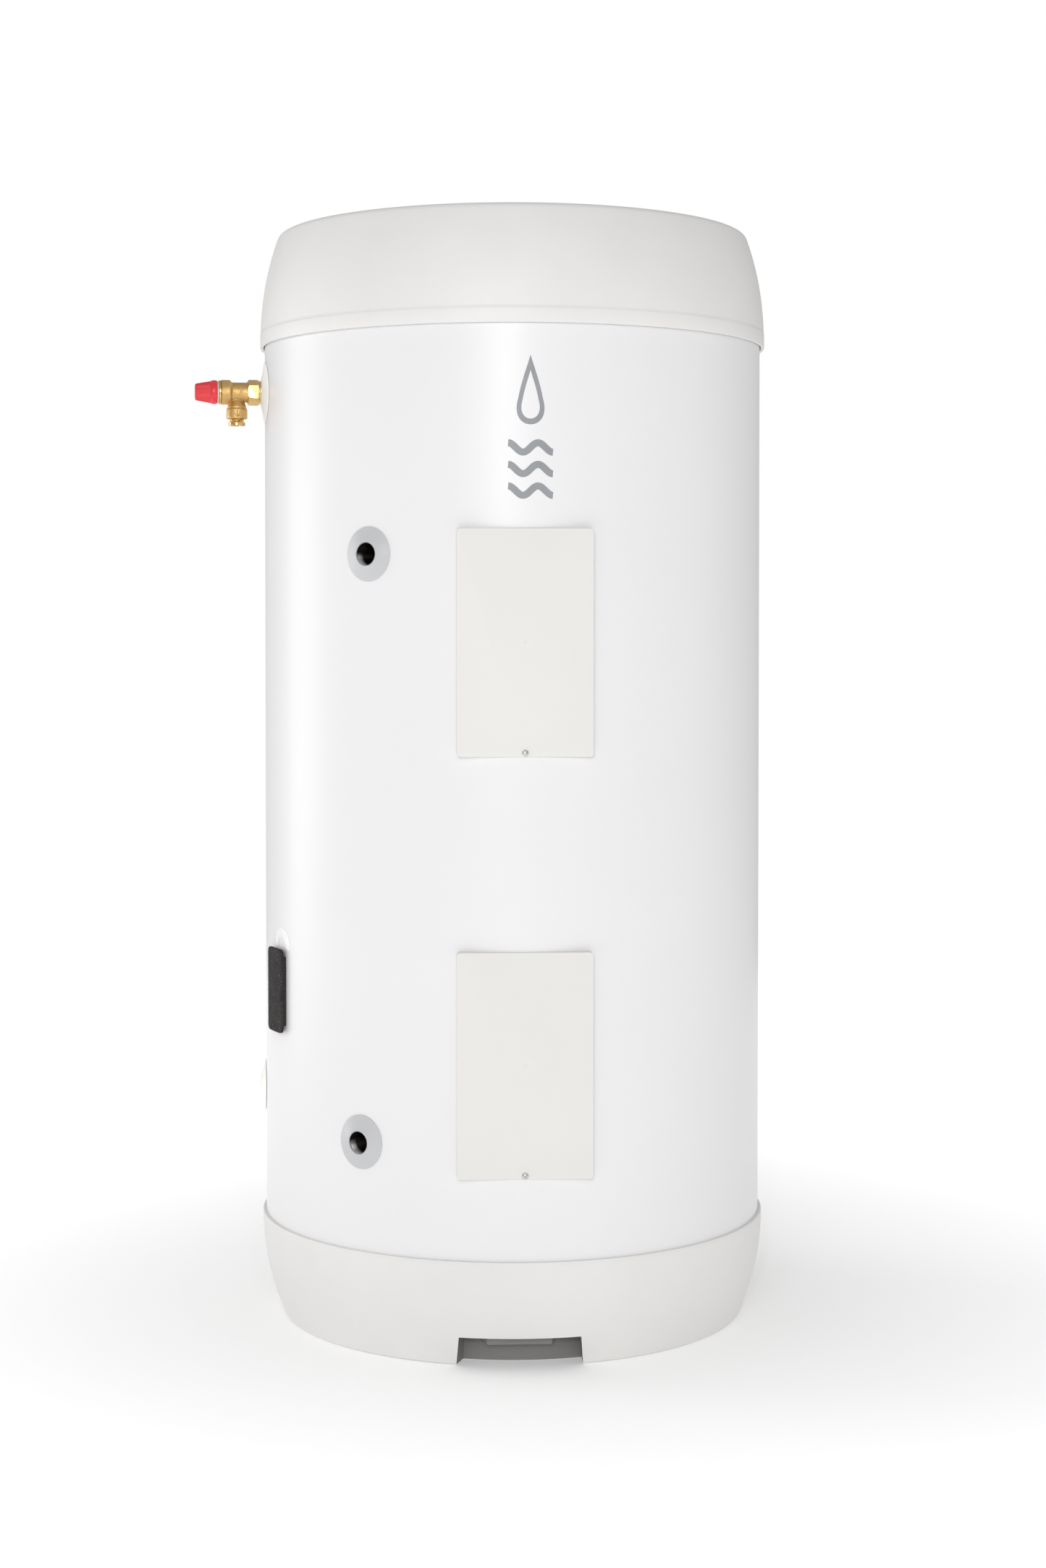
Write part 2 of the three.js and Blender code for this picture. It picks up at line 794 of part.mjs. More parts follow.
function reliefBody() {
  const outside = revolve([
    [0, 262],
    [11.6, 262],
    [11.6, 296.6],
    [13.3, 296.9],
    [13.3, valveNeckZ],
    [12, valveNeckZ],
    [11.5, valveHexZ],
    [11.5, valveChestZ - 1.5],
    [14.25, valveChestZ + 1.8],
    [14.25, valveChestEndZ],
    [0, valveChestEndZ],
  ], 20);
  const nut = prism(hexagon(25.8, Math.PI / 2), valveNeckZ, valveHexZ);
  const chamfer = revolve([
    [0, valveNeckZ - 1],
    [13.4, valveNeckZ - 1],
    [14.9, valveNeckZ + 1.6],
    [14.9, valveHexZ - 1.6],
    [11.5, valveHexZ + 2],
    [0, valveHexZ + 2],
  ], 20);
  const branch = revolve([
    [0, 0],
    [4.5, 0],
    [6.5, 7],
    [11, 17],
    [11, 18.6],
    [12.05, 20.2],
    [12.05, 30.1],
    [11.5, 30.6],
    [0, 30.6],
  ], 20).rotateX(Math.PI / 2).translate(0, 0, reliefBranchZ);
  const inlet = ring(6.5, 0, 250, valveSeatZ + 5, 12);
  const seat = ring(9, 0, valveSeatZ, 350, 16);
  const chest = ring(10.9, 0, valveChestZ + 2, 350, 16);
  const outlet = ring(4.5, 0, 5, 60, 12);
  const outletMouth = ring(8.4, 0, 20, 60, 16);
  const down = [outlet, outletMouth].map((hole) =>
    hole.rotateX(Math.PI / 2).translate(0, 0, reliefBranchZ));
  return cut(join(outside, overlap(nut, chamfer), branch), inlet, seat, chest, ...down);
}

// The plug that closes the valve's chest, with its rim outside.
function reliefBonnet() {
  return revolve([
    [7.5, valveChestZ + 4],
    [10.5, valveChestZ + 4],
    [10.5, valveChestEndZ + gap],
    [13.9, valveChestEndZ + gap],
    [13.9, valveBonnetEndZ - 0.5],
    [13.4, valveBonnetEndZ],
    [2.6, valveBonnetEndZ],
    [2.6, valveBonnetEndZ - 3.5],
    [7.5, valveBonnetEndZ - 3.5],
  ], 20);
}

function reliefSpindle() {
  return revolve([
    [0, valveSeatZ + 3.6],
    [7.4, valveSeatZ + 3.6],
    [7.4, valveSeatZ + 4.8],
    [2, valveSeatZ + 4.8],
    [2, 362],
    [0, 362],
  ], 16);
}

function reliefSpring() {
  const turns = 5;
  const from = valveSeatZ + 6.2;
  const to = valveBonnetEndZ - 4.8;
  const points = [];
  for (let i = 0; i <= turns * 8; i += 1) {
    const a = (2 * Math.PI * i) / 8;
    const z = from + ((to - from) * i) / (turns * 8);
    points.push(new THREE.Vector3(5.4 * Math.cos(a), 5.4 * Math.sin(a), z));
  }
  return rod(new THREE.CatmullRomCurve3(points), 0.8, turns * 9, 5);
}

const knobFoot = 345.9;
const knobTip = 371.3;

function reliefKnob() {
  const flutes = 16;
  const taper = (z) => 12.6 - ((z - 352.5) * 2.8) / (knobTip - 352.5);
  const outside = revolve([
    [0, knobFoot],
    [13, knobFoot],
    [13.8, knobFoot + 1.6],
    [13.8, 351.8],
    [taper(352.5), 352.8],
    [taper(knobTip) + 0.2, knobTip - 2],
    [taper(knobTip) - 1.6, knobTip],
    [0, knobTip],
  ], 32);
  const grooves = [];
  for (let i = 0; i < flutes; i += 1) {
    const a = (2 * Math.PI * (i + 0.5)) / flutes;
    const groove = new THREE.CylinderGeometry(0.55, 0.55, 16, 4);
    groove.rotateX(Math.PI / 2 + 0.14).translate(0, 11.5, 361.8);
    grooves.push(groove.rotateZ(a));
  }
  const bore = revolve([
    [0, knobFoot - 5],
    [9.5, knobFoot - 5],
    [9.5, knobFoot + 5],
    [2.5, knobFoot + 5],
    [2.5, 363],
    [0, 363],
  ], 16);
  return cut(outside, bore, ...grooves);
}

// A bush in the valve's outlet, with four lugs below it.
function reliefSleeve() {
  const tube = revolve([
    [5.9, 21],
    [7.9, 21],
    [7.9, 34.2],
    [9.5, 34.8],
    [9.5, 38.4],
    [5.9, 38.4],
  ], 20);
  const slots = [0, 1].map((i) => box(3, 40, 5, 0, 0, 38.5).rotateZ((i * Math.PI) / 2 + 0.5));
  return cut(tube, ...slots).rotateX(Math.PI / 2).translate(0, 0, reliefBranchZ);
}

// ---------- Assembly ----------

add(heater, "base_plinth", basePlinth(), warmGrey);
add(heater, "jacket", jacket(), white);
add(heater, "top_lid", topLid(), warmGrey);

add(heater, "insulation_base", insulationBase(), foam);
add(heater, "insulation_body", insulationBody(), foam);
add(heater, "insulation_top", insulationTop(), foam);

add(heater, "tank_foot_ring", footRing(), steel);
add(heater, "tank_barrel", barrel(), steel);
const topHead = add(heater, "tank_top_head", tankHead(), steel);
topHead.position.z = barrelTopZ + gap;
const bottomHead = add(heater, "tank_bottom_head", tankHead(), steel);
bottomHead.rotation.x = Math.PI;
bottomHead.position.z = barrelBottomZ - gap;

add(heater, "heating_coil", heatingCoil(), steel);
add(heater, "cold_inlet_pipe", innerPipe(ports.coldInlet, 190, 130, 9), steel);
add(heater, "hot_outlet_pipe", innerPipe(ports.hotOutlet, 110, 1160, 9), steel);

const fittings = [
  ["coil_flow", ports.coilFlow, 29.6, 5.8, collarGrey],
  ["coil_return", ports.coilReturn, 29.6, 5.8, collarGrey],
  ["cold_inlet", ports.coldInlet, 29.6, 5.8, white],
  ["hot_outlet", ports.hotOutlet, 29.6, 5.8, white],
];
for (const [name, port, rimRadius, tipHeight, look] of fittings) {
  const group = portGroup(port);
  add(group, `${name}_socket`, socket(), steel);
  add(group, `${name}_collar`, collar(rimRadius, tipHeight), look);
  heater.add(group);
}

const covers = [["upper", upperCoverZ], ["lower", lowerCoverZ]];
for (const [name, z] of covers) {
  add(heater, `${name}_cover`, cover(z), coverGrey);
  const screwGroup = portGroup({ angle: 0, z: screwZ(z) });
  add(screwGroup, `${name}_cover_screw`, coverScrew(), steel);
  heater.add(screwGroup);

  add(heater, `${name}_pocket_liner`, pocketLiner(z), bakelite);
  const element = portGroup({ angle: 0, z: z - elementDrop });
  add(element, `${name}_element_boss`, elementBoss(), steel);
  add(element, `${name}_element_gasket`, elementGasket(), rubber);
  add(element, `${name}_element_head`, elementHead(), brass);
  add(element, `${name}_element_rod`, elementRod(), copper);
  heater.add(element);

  const control = portGroup({ angle: 0, z: z + thermostatRise });
  add(control, `${name}_thermostat`, thermostat(), bakelite);
  add(control, `${name}_thermostat_dial`, dial(), white);
  add(control, `${name}_reset_button`, resetButton(), red);
  heater.add(control);

  const lead = portGroup({ angle: 0, z });
  add(lead, `${name}_element_lead`, twinLead(), rubber);
  heater.add(lead);
}

const openingTop = openingRise + openingHeight / 2 - 0.5;
const openingBottom = openingRise - openingHeight / 2 + 0.5;
const upperDuct = [lowerCoverZ + openingTop + gap, upperCoverZ + openingBottom - gap];
const lowerDuct = [nicheHeight + 0.4, lowerCoverZ + openingBottom - gap];
add(heater, "upper_cable_duct", cableDuct(...upperDuct), white);
add(heater, "lower_cable_duct", cableDuct(...lowerDuct), white);
add(heater, "cable_outlet", cableOutlet(), warmGrey);
add(heater, "cable_grommet", cableGrommet(), rubber);

const sensor = portGroup(ports.sensor);
add(sensor, "sensor_pocket", sensorPocket(), copper);
const sensorFront = new THREE.Group();
sensorFront.rotation.z = THREE.MathUtils.degToRad(ports.sensor.angle);
sensorFront.position.z = ports.sensor.z;
add(sensorFront, "sensor_gasket", sensorGasket(), black);
add(sensorFront, "sensor_foam_pad", sensorPad(), black);
heater.add(sensor, sensorFront);

const relief = portGroup(ports.relief);
add(relief, "relief_socket", socket(), steel);
add(relief, "relief_collar", collar(35.6, 5.3), white);
add(relief, "relief_body", reliefBody(), brass);
add(relief, "relief_bonnet", reliefBonnet(), brass);
add(relief, "relief_ring", ring(13, 10, valveBonnetEndZ + gap, knobFoot - gap, 24), white);
add(relief, "relief_disc", ring(7.4, 0, valveSeatZ + gap, valveSeatZ + 3.3, 16), rubber);
add(relief, "relief_spindle", reliefSpindle(), brass);
add(relief, "relief_spring", reliefSpring(), steel);
add(relief, "relief_knob", reliefKnob(), red);
add(relief, "relief_outlet_sleeve", reliefSleeve(), brass);
heater.add(relief);

export default heater;
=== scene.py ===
"""The look of the hot water cylinder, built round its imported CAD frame. Lengths inside are in mm."""

import json
import math

import bmesh
import bpy
from mathutils import Matrix, Vector


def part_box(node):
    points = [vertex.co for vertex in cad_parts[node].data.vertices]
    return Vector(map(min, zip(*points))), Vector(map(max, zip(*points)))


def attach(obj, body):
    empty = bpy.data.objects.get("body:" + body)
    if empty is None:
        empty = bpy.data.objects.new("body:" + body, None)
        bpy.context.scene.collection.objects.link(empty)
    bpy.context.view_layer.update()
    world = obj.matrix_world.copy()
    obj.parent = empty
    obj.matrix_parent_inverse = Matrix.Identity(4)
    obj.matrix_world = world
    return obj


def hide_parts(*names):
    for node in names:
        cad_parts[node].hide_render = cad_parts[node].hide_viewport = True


MM = 0.001
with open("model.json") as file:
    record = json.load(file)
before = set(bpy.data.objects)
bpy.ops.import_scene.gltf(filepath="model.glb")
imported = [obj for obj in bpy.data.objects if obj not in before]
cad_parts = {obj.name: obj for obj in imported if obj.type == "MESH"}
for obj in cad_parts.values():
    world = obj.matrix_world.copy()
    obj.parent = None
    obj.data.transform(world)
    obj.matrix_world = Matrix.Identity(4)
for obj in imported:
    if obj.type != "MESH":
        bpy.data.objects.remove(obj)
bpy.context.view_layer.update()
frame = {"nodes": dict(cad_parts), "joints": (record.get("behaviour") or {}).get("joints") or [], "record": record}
nodes = frame["nodes"]
mounts = {m["name"]: m for m in frame["record"]["mounts"]}
joints = {j["name"]: j for j in frame["joints"]}


# ---------- Places and sizes, read from the frame ----------


def low(node):
    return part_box(node)[0] / MM


def high(node):
    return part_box(node)[1] / MM


def middle(node):
    return (low(node) + high(node)) / 2


JACKET_R = high("jacket").x
LID_RIM_Z = low("top_lid").z
LID_RISE = 1.6
LID_TOP_Z = high("top_lid").z + LID_RISE
LID_R = high("top_lid").x
BASE_RIM_Z = high("base_plinth").z
BASE_R = high("base_plinth").x
SHEET = 1.0
SKIRT_Y = low("upper_cover").y
COVER_W = high("upper_cover").x - low("upper_cover").x
COVER_CUT = 2.4
COVER_DROP = 0.3
COVER_H = high("upper_cover").z - low("upper_cover").z - COVER_CUT
COVERS = {side: middle(f"{side}_cover").z - COVER_DROP for side in ("upper", "lower")}
SCREWS = {side: middle(f"{side}_cover_screw") for side in ("upper", "lower")}


def angle_of(axis):
    return math.atan2(axis[0], -axis[1])


def port_place(name):
    angle = angle_of(mounts[f"{name}_face"]["axis"])
    return angle, middle(f"{name}_collar").z


PORTS = {n: port_place(n) for n in ("coil_flow", "coil_return", "cold_inlet", "hot_outlet")}
knob_joint = joints["relief_knob_turn"]
PORTS["relief"] = (angle_of(knob_joint["axis"]), knob_joint["pos_m"][2] / MM)
pad = middle("sensor_foam_pad")
PAD_ANGLE = math.atan2(pad.x, -pad.y)
PAD_Z = pad.z


def port_matrix(angle, z):
    """Z runs out from the tank's axis, Y is up and X runs round the jacket."""
    along = Vector((math.cos(angle), math.sin(angle), 0))
    out = Vector((math.sin(angle), -math.cos(angle), 0))
    matrix = Matrix((along, Vector((0, 0, 1)), out)).transposed().to_4x4()
    matrix.translation = (0, 0, z)
    return matrix


# ---------- Mesh helpers ----------


def piece(name, verts, faces, matrix=None, sharp=35):
    mesh = bpy.data.meshes.new(name)
    place = matrix or Matrix.Identity(4)
    mesh.from_pydata([tuple((place @ Vector(v)) * MM) for v in verts], [], faces)
    bm = bmesh.new()
    bm.from_mesh(mesh)
    bmesh.ops.remove_doubles(bm, verts=bm.verts, dist=2e-6)
    bmesh.ops.recalc_face_normals(bm, faces=bm.faces)
    bm.to_mesh(mesh)
    bm.free()
    obj = bpy.data.objects.new(name, mesh)
    bpy.context.scene.collection.objects.link(obj)
    return smooth(obj, sharp)


def smooth(obj, sharp=35):
    mesh = obj.data
    mesh.polygons.foreach_set("use_smooth", [True] * len(mesh.polygons))
    mesh.set_sharp_from_angle(angle=math.radians(sharp))
    return obj


def bake(obj, sharp=35):
    """Applies the modifiers."""
    bpy.context.view_layer.update()
    depsgraph = bpy.context.evaluated_depsgraph_get()
    mesh = bpy.data.meshes.new_from_object(obj.evaluated_get(depsgraph))
    obj.modifiers.clear()
    obj.data = mesh
    return smooth(obj, sharp)


def boolean(obj, tool, operation="DIFFERENCE", sharp=35):
    modifier = obj.modifiers.new("boolean", "BOOLEAN")
    modifier.operation = operation
    modifier.object = tool
    modifier.solver = "EXACT"
    bake(obj, sharp)
    bpy.data.objects.remove(tool)
    return obj


def bevel(obj, width, segments=2, angle=40, sharp=35):
    modifier = obj.modifiers.new("bevel", "BEVEL")
    modifier.width = width * MM
    modifier.segments = segments
    modifier.limit_method = "ANGLE"
    modifier.angle_limit = math.radians(angle)
    modifier.harden_normals = False
    return bake(obj, sharp)


def circle(radius, height, segments):
    turns = [2 * math.pi * j / segments for j in range(segments)]
    return [(radius * math.cos(a), radius * math.sin(a), height) for a in turns]


def ribbed(profile, segments, cut):
    """Rings of a profile of (radius, height, share), each cut by its share of cut(point)."""
    rings = []
    for radius, height, share in profile:
        radii = [radius - share * cut(j) for j in range(segments)]
        turns = [2 * math.pi * j / segments for j in range(segments)]
        rings.append([(r * math.cos(a), r * math.sin(a), height) for r, a in zip(radii, turns)])
    return rings


def loft(name, rings, matrix=None, closed_rings=True, cap=False, loop=False, sharp=35):
    """A skin over rings of points that all have the same count."""
    n = len(rings[0])
    verts = [p for r in rings for p in r]
    faces = []
    span = len(rings) if loop else len(rings) - 1
    for i in range(span):
        a = i * n
        b = ((i + 1) % len(rings)) * n
        for j in range(n if closed_rings else n - 1):
            k = (j + 1) % n
            faces.append((a + j, a + k, b + k, b + j))
    if cap:
        faces.append(tuple(range(n)))
        faces.append(tuple(range(len(verts) - n, len(verts))))
    return piece(name, verts, faces, matrix, sharp)


def lathe(name, outline, segments=96, matrix=None, loop=True, sharp=35):
    """A closed outline of (radius, height) turned about Z. Radius 0 makes a pole."""
    verts = []
    rows = []
    for r, z in outline:
        if r < 1e-6:
            rows.append([len(verts)])
            verts.append((0, 0, z))
            continue
        rows.append(list(range(len(verts), len(verts) + segments)))
        verts += circle(r, z, segments)
    faces = []
    for i in range(len(rows) if loop else len(rows) - 1):
        a, b = rows[i], rows[(i + 1) % len(rows)]
        if len(a) == 1 and len(b) == 1:
            continue
        for j in range(segments):
            k = (j + 1) % segments
            if len(a) == 1:
                faces.append((a[0], b[k], b[j]))
            elif len(b) == 1:
                faces.append((a[j], a[k], b[0]))
            else:
                faces.append((a[j], a[k], b[k], b[j]))
    return piece(name, verts, faces, matrix, sharp)


def block(name, x0, x1, y0, y1, z0, z1, matrix=None):
    verts = [(x, y, z) for x in (x0, x1) for y in (y0, y1) for z in (z0, z1)]
    faces = [(0, 1, 3, 2), (4, 6, 7, 5), (0, 4, 5, 1), (2, 3, 7, 6), (0, 2, 6, 4), (1, 5, 7, 3)]
    return piece(name, verts, faces, matrix)


def prism(name, plan, z0, z1, matrix=None, sharp=35):
    rings = [[(x, y, z) for x, y in plan] for z in (z0, z1)]
    return loft(name, rings, matrix, cap=True, sharp=sharp)


def rounded_rectangle(width, height, radius, steps=6, along=1):
    """Corner arcs, with each straight side split into `along` lengths."""
    points = []
    corners = [(1, 1, 0), (-1, 1, 90), (-1, -1, 180), (1, -1, 270)]
    for sx, sy, start in corners:
        cx = sx * (width / 2 - radius)
        cy = sy * (height / 2 - radius)
        for s in range(steps + 1):
            a = math.radians(start + 90 * s / steps)
            points.append((cx + radius * math.cos(a), cy + radius * math.sin(a)))
        nx, ny, nstart = corners[(corners.index((sx, sy, start)) + 1) % 4]
        a = math.radians(nstart)
        nxt = (nx * (width / 2 - radius) + radius * math.cos(a),
               ny * (height / 2 - radius) + radius * math.sin(a))
        last = points[-1]
        for s in range(1, along):
            t = s / along
            points.append((last[0] + (nxt[0] - last[0]) * t, last[1] + (nxt[1] - last[1]) * t))
    return points


# ---------- Materials ----------


class Shader:
    """A small builder for node materials. Coordinates are the piece's own, in metres."""

    def __init__(self, name):
        self.material = bpy.data.materials.new(name)
        self.material.use_nodes = True
        self.tree = self.material.node_tree
        self.bsdf = self.tree.nodes["Principled BSDF"]
        self.coords = self.node("ShaderNodeTexCoord").outputs["Object"]

    def node(self, kind, inputs=None, **settings):
        made = self.tree.nodes.new(kind)
        for key, value in settings.items():
            setattr(made, key, value)
        for key, value in (inputs or {}).items():
            if isinstance(value, bpy.types.NodeSocket):
                self.tree.links.new(value, made.inputs[key])
            else:
                made.inputs[key].default_value = value
        return made

    def stretch(self, x, y, z):
        node = self.node("ShaderNodeMapping", {"Vector": self.coords, "Scale": (x, y, z)})
        return node.outputs["Vector"]

    def noise(self, scale, detail=3.0, roughness=0.55, vector=None):
        inputs = {
            "Vector": vector or self.coords,
            "Scale": scale,
            "Detail": detail,
            "Roughness": roughness,
        }
        return self.node("ShaderNodeTexNoise", inputs).outputs["Fac"]

    def cells(self, scale):
        inputs = {"Vector": self.coords, "Scale": scale}
        return self.node("ShaderNodeTexVoronoi", inputs).outputs["Distance"]

    def ranged(self, value, from_low, from_high, to_low, to_high):
        inputs = {
            "Value": value,
            "From Min": from_low,
            "From Max": from_high,
            "To Min": to_low,
            "To Max": to_high,
        }
        return self.node("ShaderNodeMapRange", inputs).outputs["Result"]

    def spread(self, value, to_low=0.0, to_high=1.0):
        """A noise's usual values, stretched over a range."""
        return self.ranged(value, 0.3, 0.7, to_low, to_high)

    def clouded(self, colour, scale, detail, darker, lighter):
        """A colour that drifts between two shades of itself."""
        drift = self.spread(self.noise(scale, detail))
        return self.mix(drift, shade(colour, darker), shade(colour, lighter))

    def math(self, operation, a, b=0.0):
        made = self.node("ShaderNodeMath", operation=operation)
        for socket, value in zip(made.inputs, (a, b)):
            if isinstance(value, bpy.types.NodeSocket):
                self.tree.links.new(value, socket)
            else:
                socket.default_value = value
        return made.outputs["Value"]

    def mix(self, factor, a, b):
        made = self.node("ShaderNodeMix", data_type="RGBA")
        for key, value in (("Factor", factor), ("A", a), ("B", b)):
            slots = [s for s in made.inputs if s.name == key and s.enabled]
            socket = slots[0] if key == "Factor" else slots[-1]
            if isinstance(value, bpy.types.NodeSocket):
                self.tree.links.new(value, socket)
            else:
                socket.default_value = value if key == "Factor" else (*value[:3], 1.0)
        return [s for s in made.outputs if s.enabled][0]

    def bump(self, height, strength, distance, normal=None):
        inputs = {"Height": height, "Strength": strength, "Distance": distance}
        if normal:
            inputs["Normal"] = normal
        return self.node("ShaderNodeBump", inputs).outputs["Normal"]

    def set(self, **values):
        for key, value in values.items():
            name = key.replace("_", " ")
            socket = self.bsdf.inputs[name]
            if isinstance(value, bpy.types.NodeSocket):
                self.tree.links.new(value, socket)
            elif name == "Base Color":
                socket.default_value = (*value[:3], 1.0)
            else:
                socket.default_value = value
        return self.material


def shade(colour, factor):
    return tuple(min(1.0, c * factor) for c in colour)


def pointed(s, from_low, from_high):
    """1 on raised edges, 0 elsewhere."""
    geometry = s.node("ShaderNodeNewGeometry")
    return s.ranged(geometry.outputs["Pointiness"], from_low, from_high, 0.0, 1.0)


def moulded(name, colour, rough, grain=0.12, grain_scale=1500, tint=0.03, specular=0.4, flow=True, glow=0.0):
    """Injection-moulded plastic: a fine spark-eroded grain, faint flow clouds and handled edges. A glow makes it
    shine in its own colour: painted light.
    """
    s = Shader(name)
    fleck = s.noise(260.0, 2.0)
    base = s.clouded(colour, 5.0, 3.0, 1 - tint, 1 + tint)
    base = s.mix(s.ranged(fleck, 0.62, 0.8, 0.0, 0.25), base, shade(colour, 0.9))
    base = s.mix(s.math("MULTIPLY", pointed(s, 0.52, 0.6), 0.25), base, shade(colour, 1.12))
    fine = s.noise(grain_scale, 2.0, 0.6)
    normal = s.bump(fine, grain, 0.0002)
    if flow:
        normal = s.bump(s.noise(14.0, 1.0), 0.06, 0.004, normal)
    polish = s.spread(s.noise(11.0, 4.0), rough - 0.05, rough + 0.06)
    # The plastic glows in its own colour, though it is no lamp: painted light.
    if glow:
        s.tree.links.new(base, s.bsdf.inputs["Emission Color"])
        s.bsdf.inputs["Emission Strength"].default_value = glow
    return s.set(Base_Color=base, Roughness=polish, Normal=normal, Specular_IOR_Level=specular)


def enamel(name, colour):
    """Gloss powder coat on rolled sheet: orange peel, slight waviness, dust and faint runs."""
    s = Shader(name)
    base = s.clouded(colour, 2.2, 3.0, 0.985, 1.012)
    dust = s.ranged(s.noise(900.0, 1.0), 0.74, 0.8, 0.0, 0.35)
    base = s.mix(dust, base, shade(colour, 0.86))
    rub = s.ranged(s.noise(3.0, 6.0, 0.7, s.stretch(1.0, 1.0, 0.25)), 0.42, 0.66, 0.0, 1.0)
    rough = s.ranged(rub, 0.0, 1.0, 0.3, 0.38)
    peel = s.noise(420.0, 2.0, 0.5)
    wave = s.noise(7.0, 1.0, 0.4, s.stretch(1.0, 1.0, 0.35))
    normal = s.bump(wave, 0.1, 0.003, s.bump(peel, 0.09, 0.0003))
    return s.set(Base_Color=base, Roughness=rough, Normal=normal, Specular_IOR_Level=0.35)


def cast_brass(name, colour, rough, grain, grain_scale):
    """A sand-cast skin: pits, painted shade in the hollows and rubbed edges."""
    s = Shader(name)
    base = s.clouded(colour, 90.0, 4.0, 0.86, 1.1)
    pits = s.ranged(s.cells(900.0), 0.0, 0.25, 1.0, 0.0)
    base = s.mix(s.math("MULTIPLY", pits, 0.35), base, shade(colour, 0.55))
    # Hollows are darkened to dark brown: painted shade.
    hollow = s.ranged(s.node("ShaderNodeNewGeometry").outputs["Pointiness"], 0.4, 0.5, 1.0, 0.0)
    base = s.mix(s.math("MULTIPLY", hollow, 0.55), base, (0.28, 0.15, 0.05))
    base = s.mix(s.math("MULTIPLY", pointed(s, 0.53, 0.62), 0.6), base, shade(colour, 1.3))
    polish = s.spread(s.noise(260.0, 4.0), rough - 0.08, rough + 0.1)
    normal = s.bump(s.noise(grain_scale, 4.0, 0.65), grain, 0.0003)
    return s.set(Base_Color=base, Metallic=1.0, Roughness=polish, Normal=normal)


def turned_metal(name, colour, rough, lines=2500, strength=0.15, stretch=(1.0, 1.0, 1.0)):
    """Machined metal: tool lines, fine scratches and a little stain."""
    s = Shader(name)
    vector = s.stretch(*stretch)
    stain = s.noise(60.0, 4.0)
    base = s.mix(s.ranged(stain, 0.35, 0.7, 0.0, 1.0), shade(colour, 0.88), shade(colour, 1.08))
    scratch = s.noise(lines, 2.0, 0.7, vector)
    base = s.mix(s.ranged(scratch, 0.6, 0.75, 0.0, 0.3), base, shade(colour, 0.65))
    polish = s.spread(scratch, rough - 0.07, rough + 0.1)
    normal = s.bump(scratch, strength, 0.0001)
    return s.set(Base_Color=base, Metallic=1.0, Roughness=polish, Normal=normal)


def bored(name):
    """Machined steel, painted near-black down the bore as painted shade, with a pale patch of painted light on the
    shallow wall that faces the key light.
    """
    s = Shader(name)
    split = s.node("ShaderNodeSeparateXYZ", {"Vector": s.coords})
    squares = [s.math("POWER", split.outputs[axis], 2.0) for axis in "XY"]
    around = s.math("SQRT", s.math("ADD", *squares))
    mouth = (JACKET_R + 5.6) * MM
    # A pale patch is painted on the walls that face the key light's direction: painted light.
    facing = s.node("ShaderNodeNewGeometry").outputs["Normal"]
    toward = s.node("ShaderNodeVectorMath", {0: facing}, operation="DOT_PRODUCT")
    toward.inputs[1].default_value = (0.45, -0.32, 0.83)
    painted_light_side = s.ranged(toward.outputs["Value"], 0.3, 0.8, 0.0, 1.0)
    # Deeper in the bore the steel is painted near-black: painted shade.
    shallow = s.ranged(around, mouth - 0.012, mouth - 0.004, 0.0, 1.0)
    lit = s.ranged(around, mouth - 0.0006, mouth + 0.0004, 0.0, 1.0)
    share = s.math("MAXIMUM", s.math("MULTIPLY", painted_light_side, shallow), lit)
    stain = s.noise(500.0, 3.0)
    metal = s.mix(s.spread(stain), (0.5, 0.48, 0.46), (0.72, 0.71, 0.7))
    # Near-black wherever neither the painted light patch nor the mouth's face shows: painted shade.
    base = s.mix(share, (0.008, 0.007, 0.006), metal)
    rough = s.spread(s.noise(1500.0, 2.0), 0.22, 0.36)
    normal = s.bump(s.noise(2600.0, 2.0), 0.12, 0.0001)
    # The painted light patch is made less metallic, so it reads as pale.
    plain = s.ranged(s.math("MULTIPLY", painted_light_side, shallow), 0.0, 1.0, 1.0, 0.25)
    return s.set(Base_Color=base, Metallic=plain, Roughness=rough, Normal=normal)


def open_foam(name, colour, speck, cell=1400.0, depth=0.0006, specks=0.4):
    """Cut foam: open cells of two sizes and pale dust in the cut faces."""
    s = Shader(name)
    small = s.cells(cell)
    large = s.cells(cell * 0.35)
    base = s.clouded(colour, 60.0, 4.0, 0.75, 1.35)
    dust = s.ranged(s.noise(cell * 0.8, 1.0), 0.66, 0.74, 0.0, specks)
    base = s.mix(dust, base, speck)
    height = s.math("ADD", small, s.math("MULTIPLY", large, 0.7))
    normal = s.bump(height, 0.8, depth)
    normal = s.bump(s.noise(160.0, 3.0), 0.5, 0.0012, normal)
    rough = s.spread(s.noise(500.0, 2.0), 0.82, 0.98)
    return s.set(Base_Color=base, Roughness=rough, Normal=normal, Specular_IOR_Level=0.25)


def soft_rubber(name, colour):
    """Rubber with a dull bloom."""
    s = Shader(name)
    bloom = s.noise(120.0, 5.0)
    base = s.mix(s.ranged(bloom, 0.45, 0.75, 0.0, 1.0), colour, shade(colour, 1.8))
    rough = s.spread(s.noise(400.0, 3.0), 0.55, 0.75)
    normal = s.bump(s.noise(1800.0, 2.0), 0.25, 0.0002)
    return s.set(Base_Color=base, Roughness=rough, Normal=normal, Specular_IOR_Level=0.35)


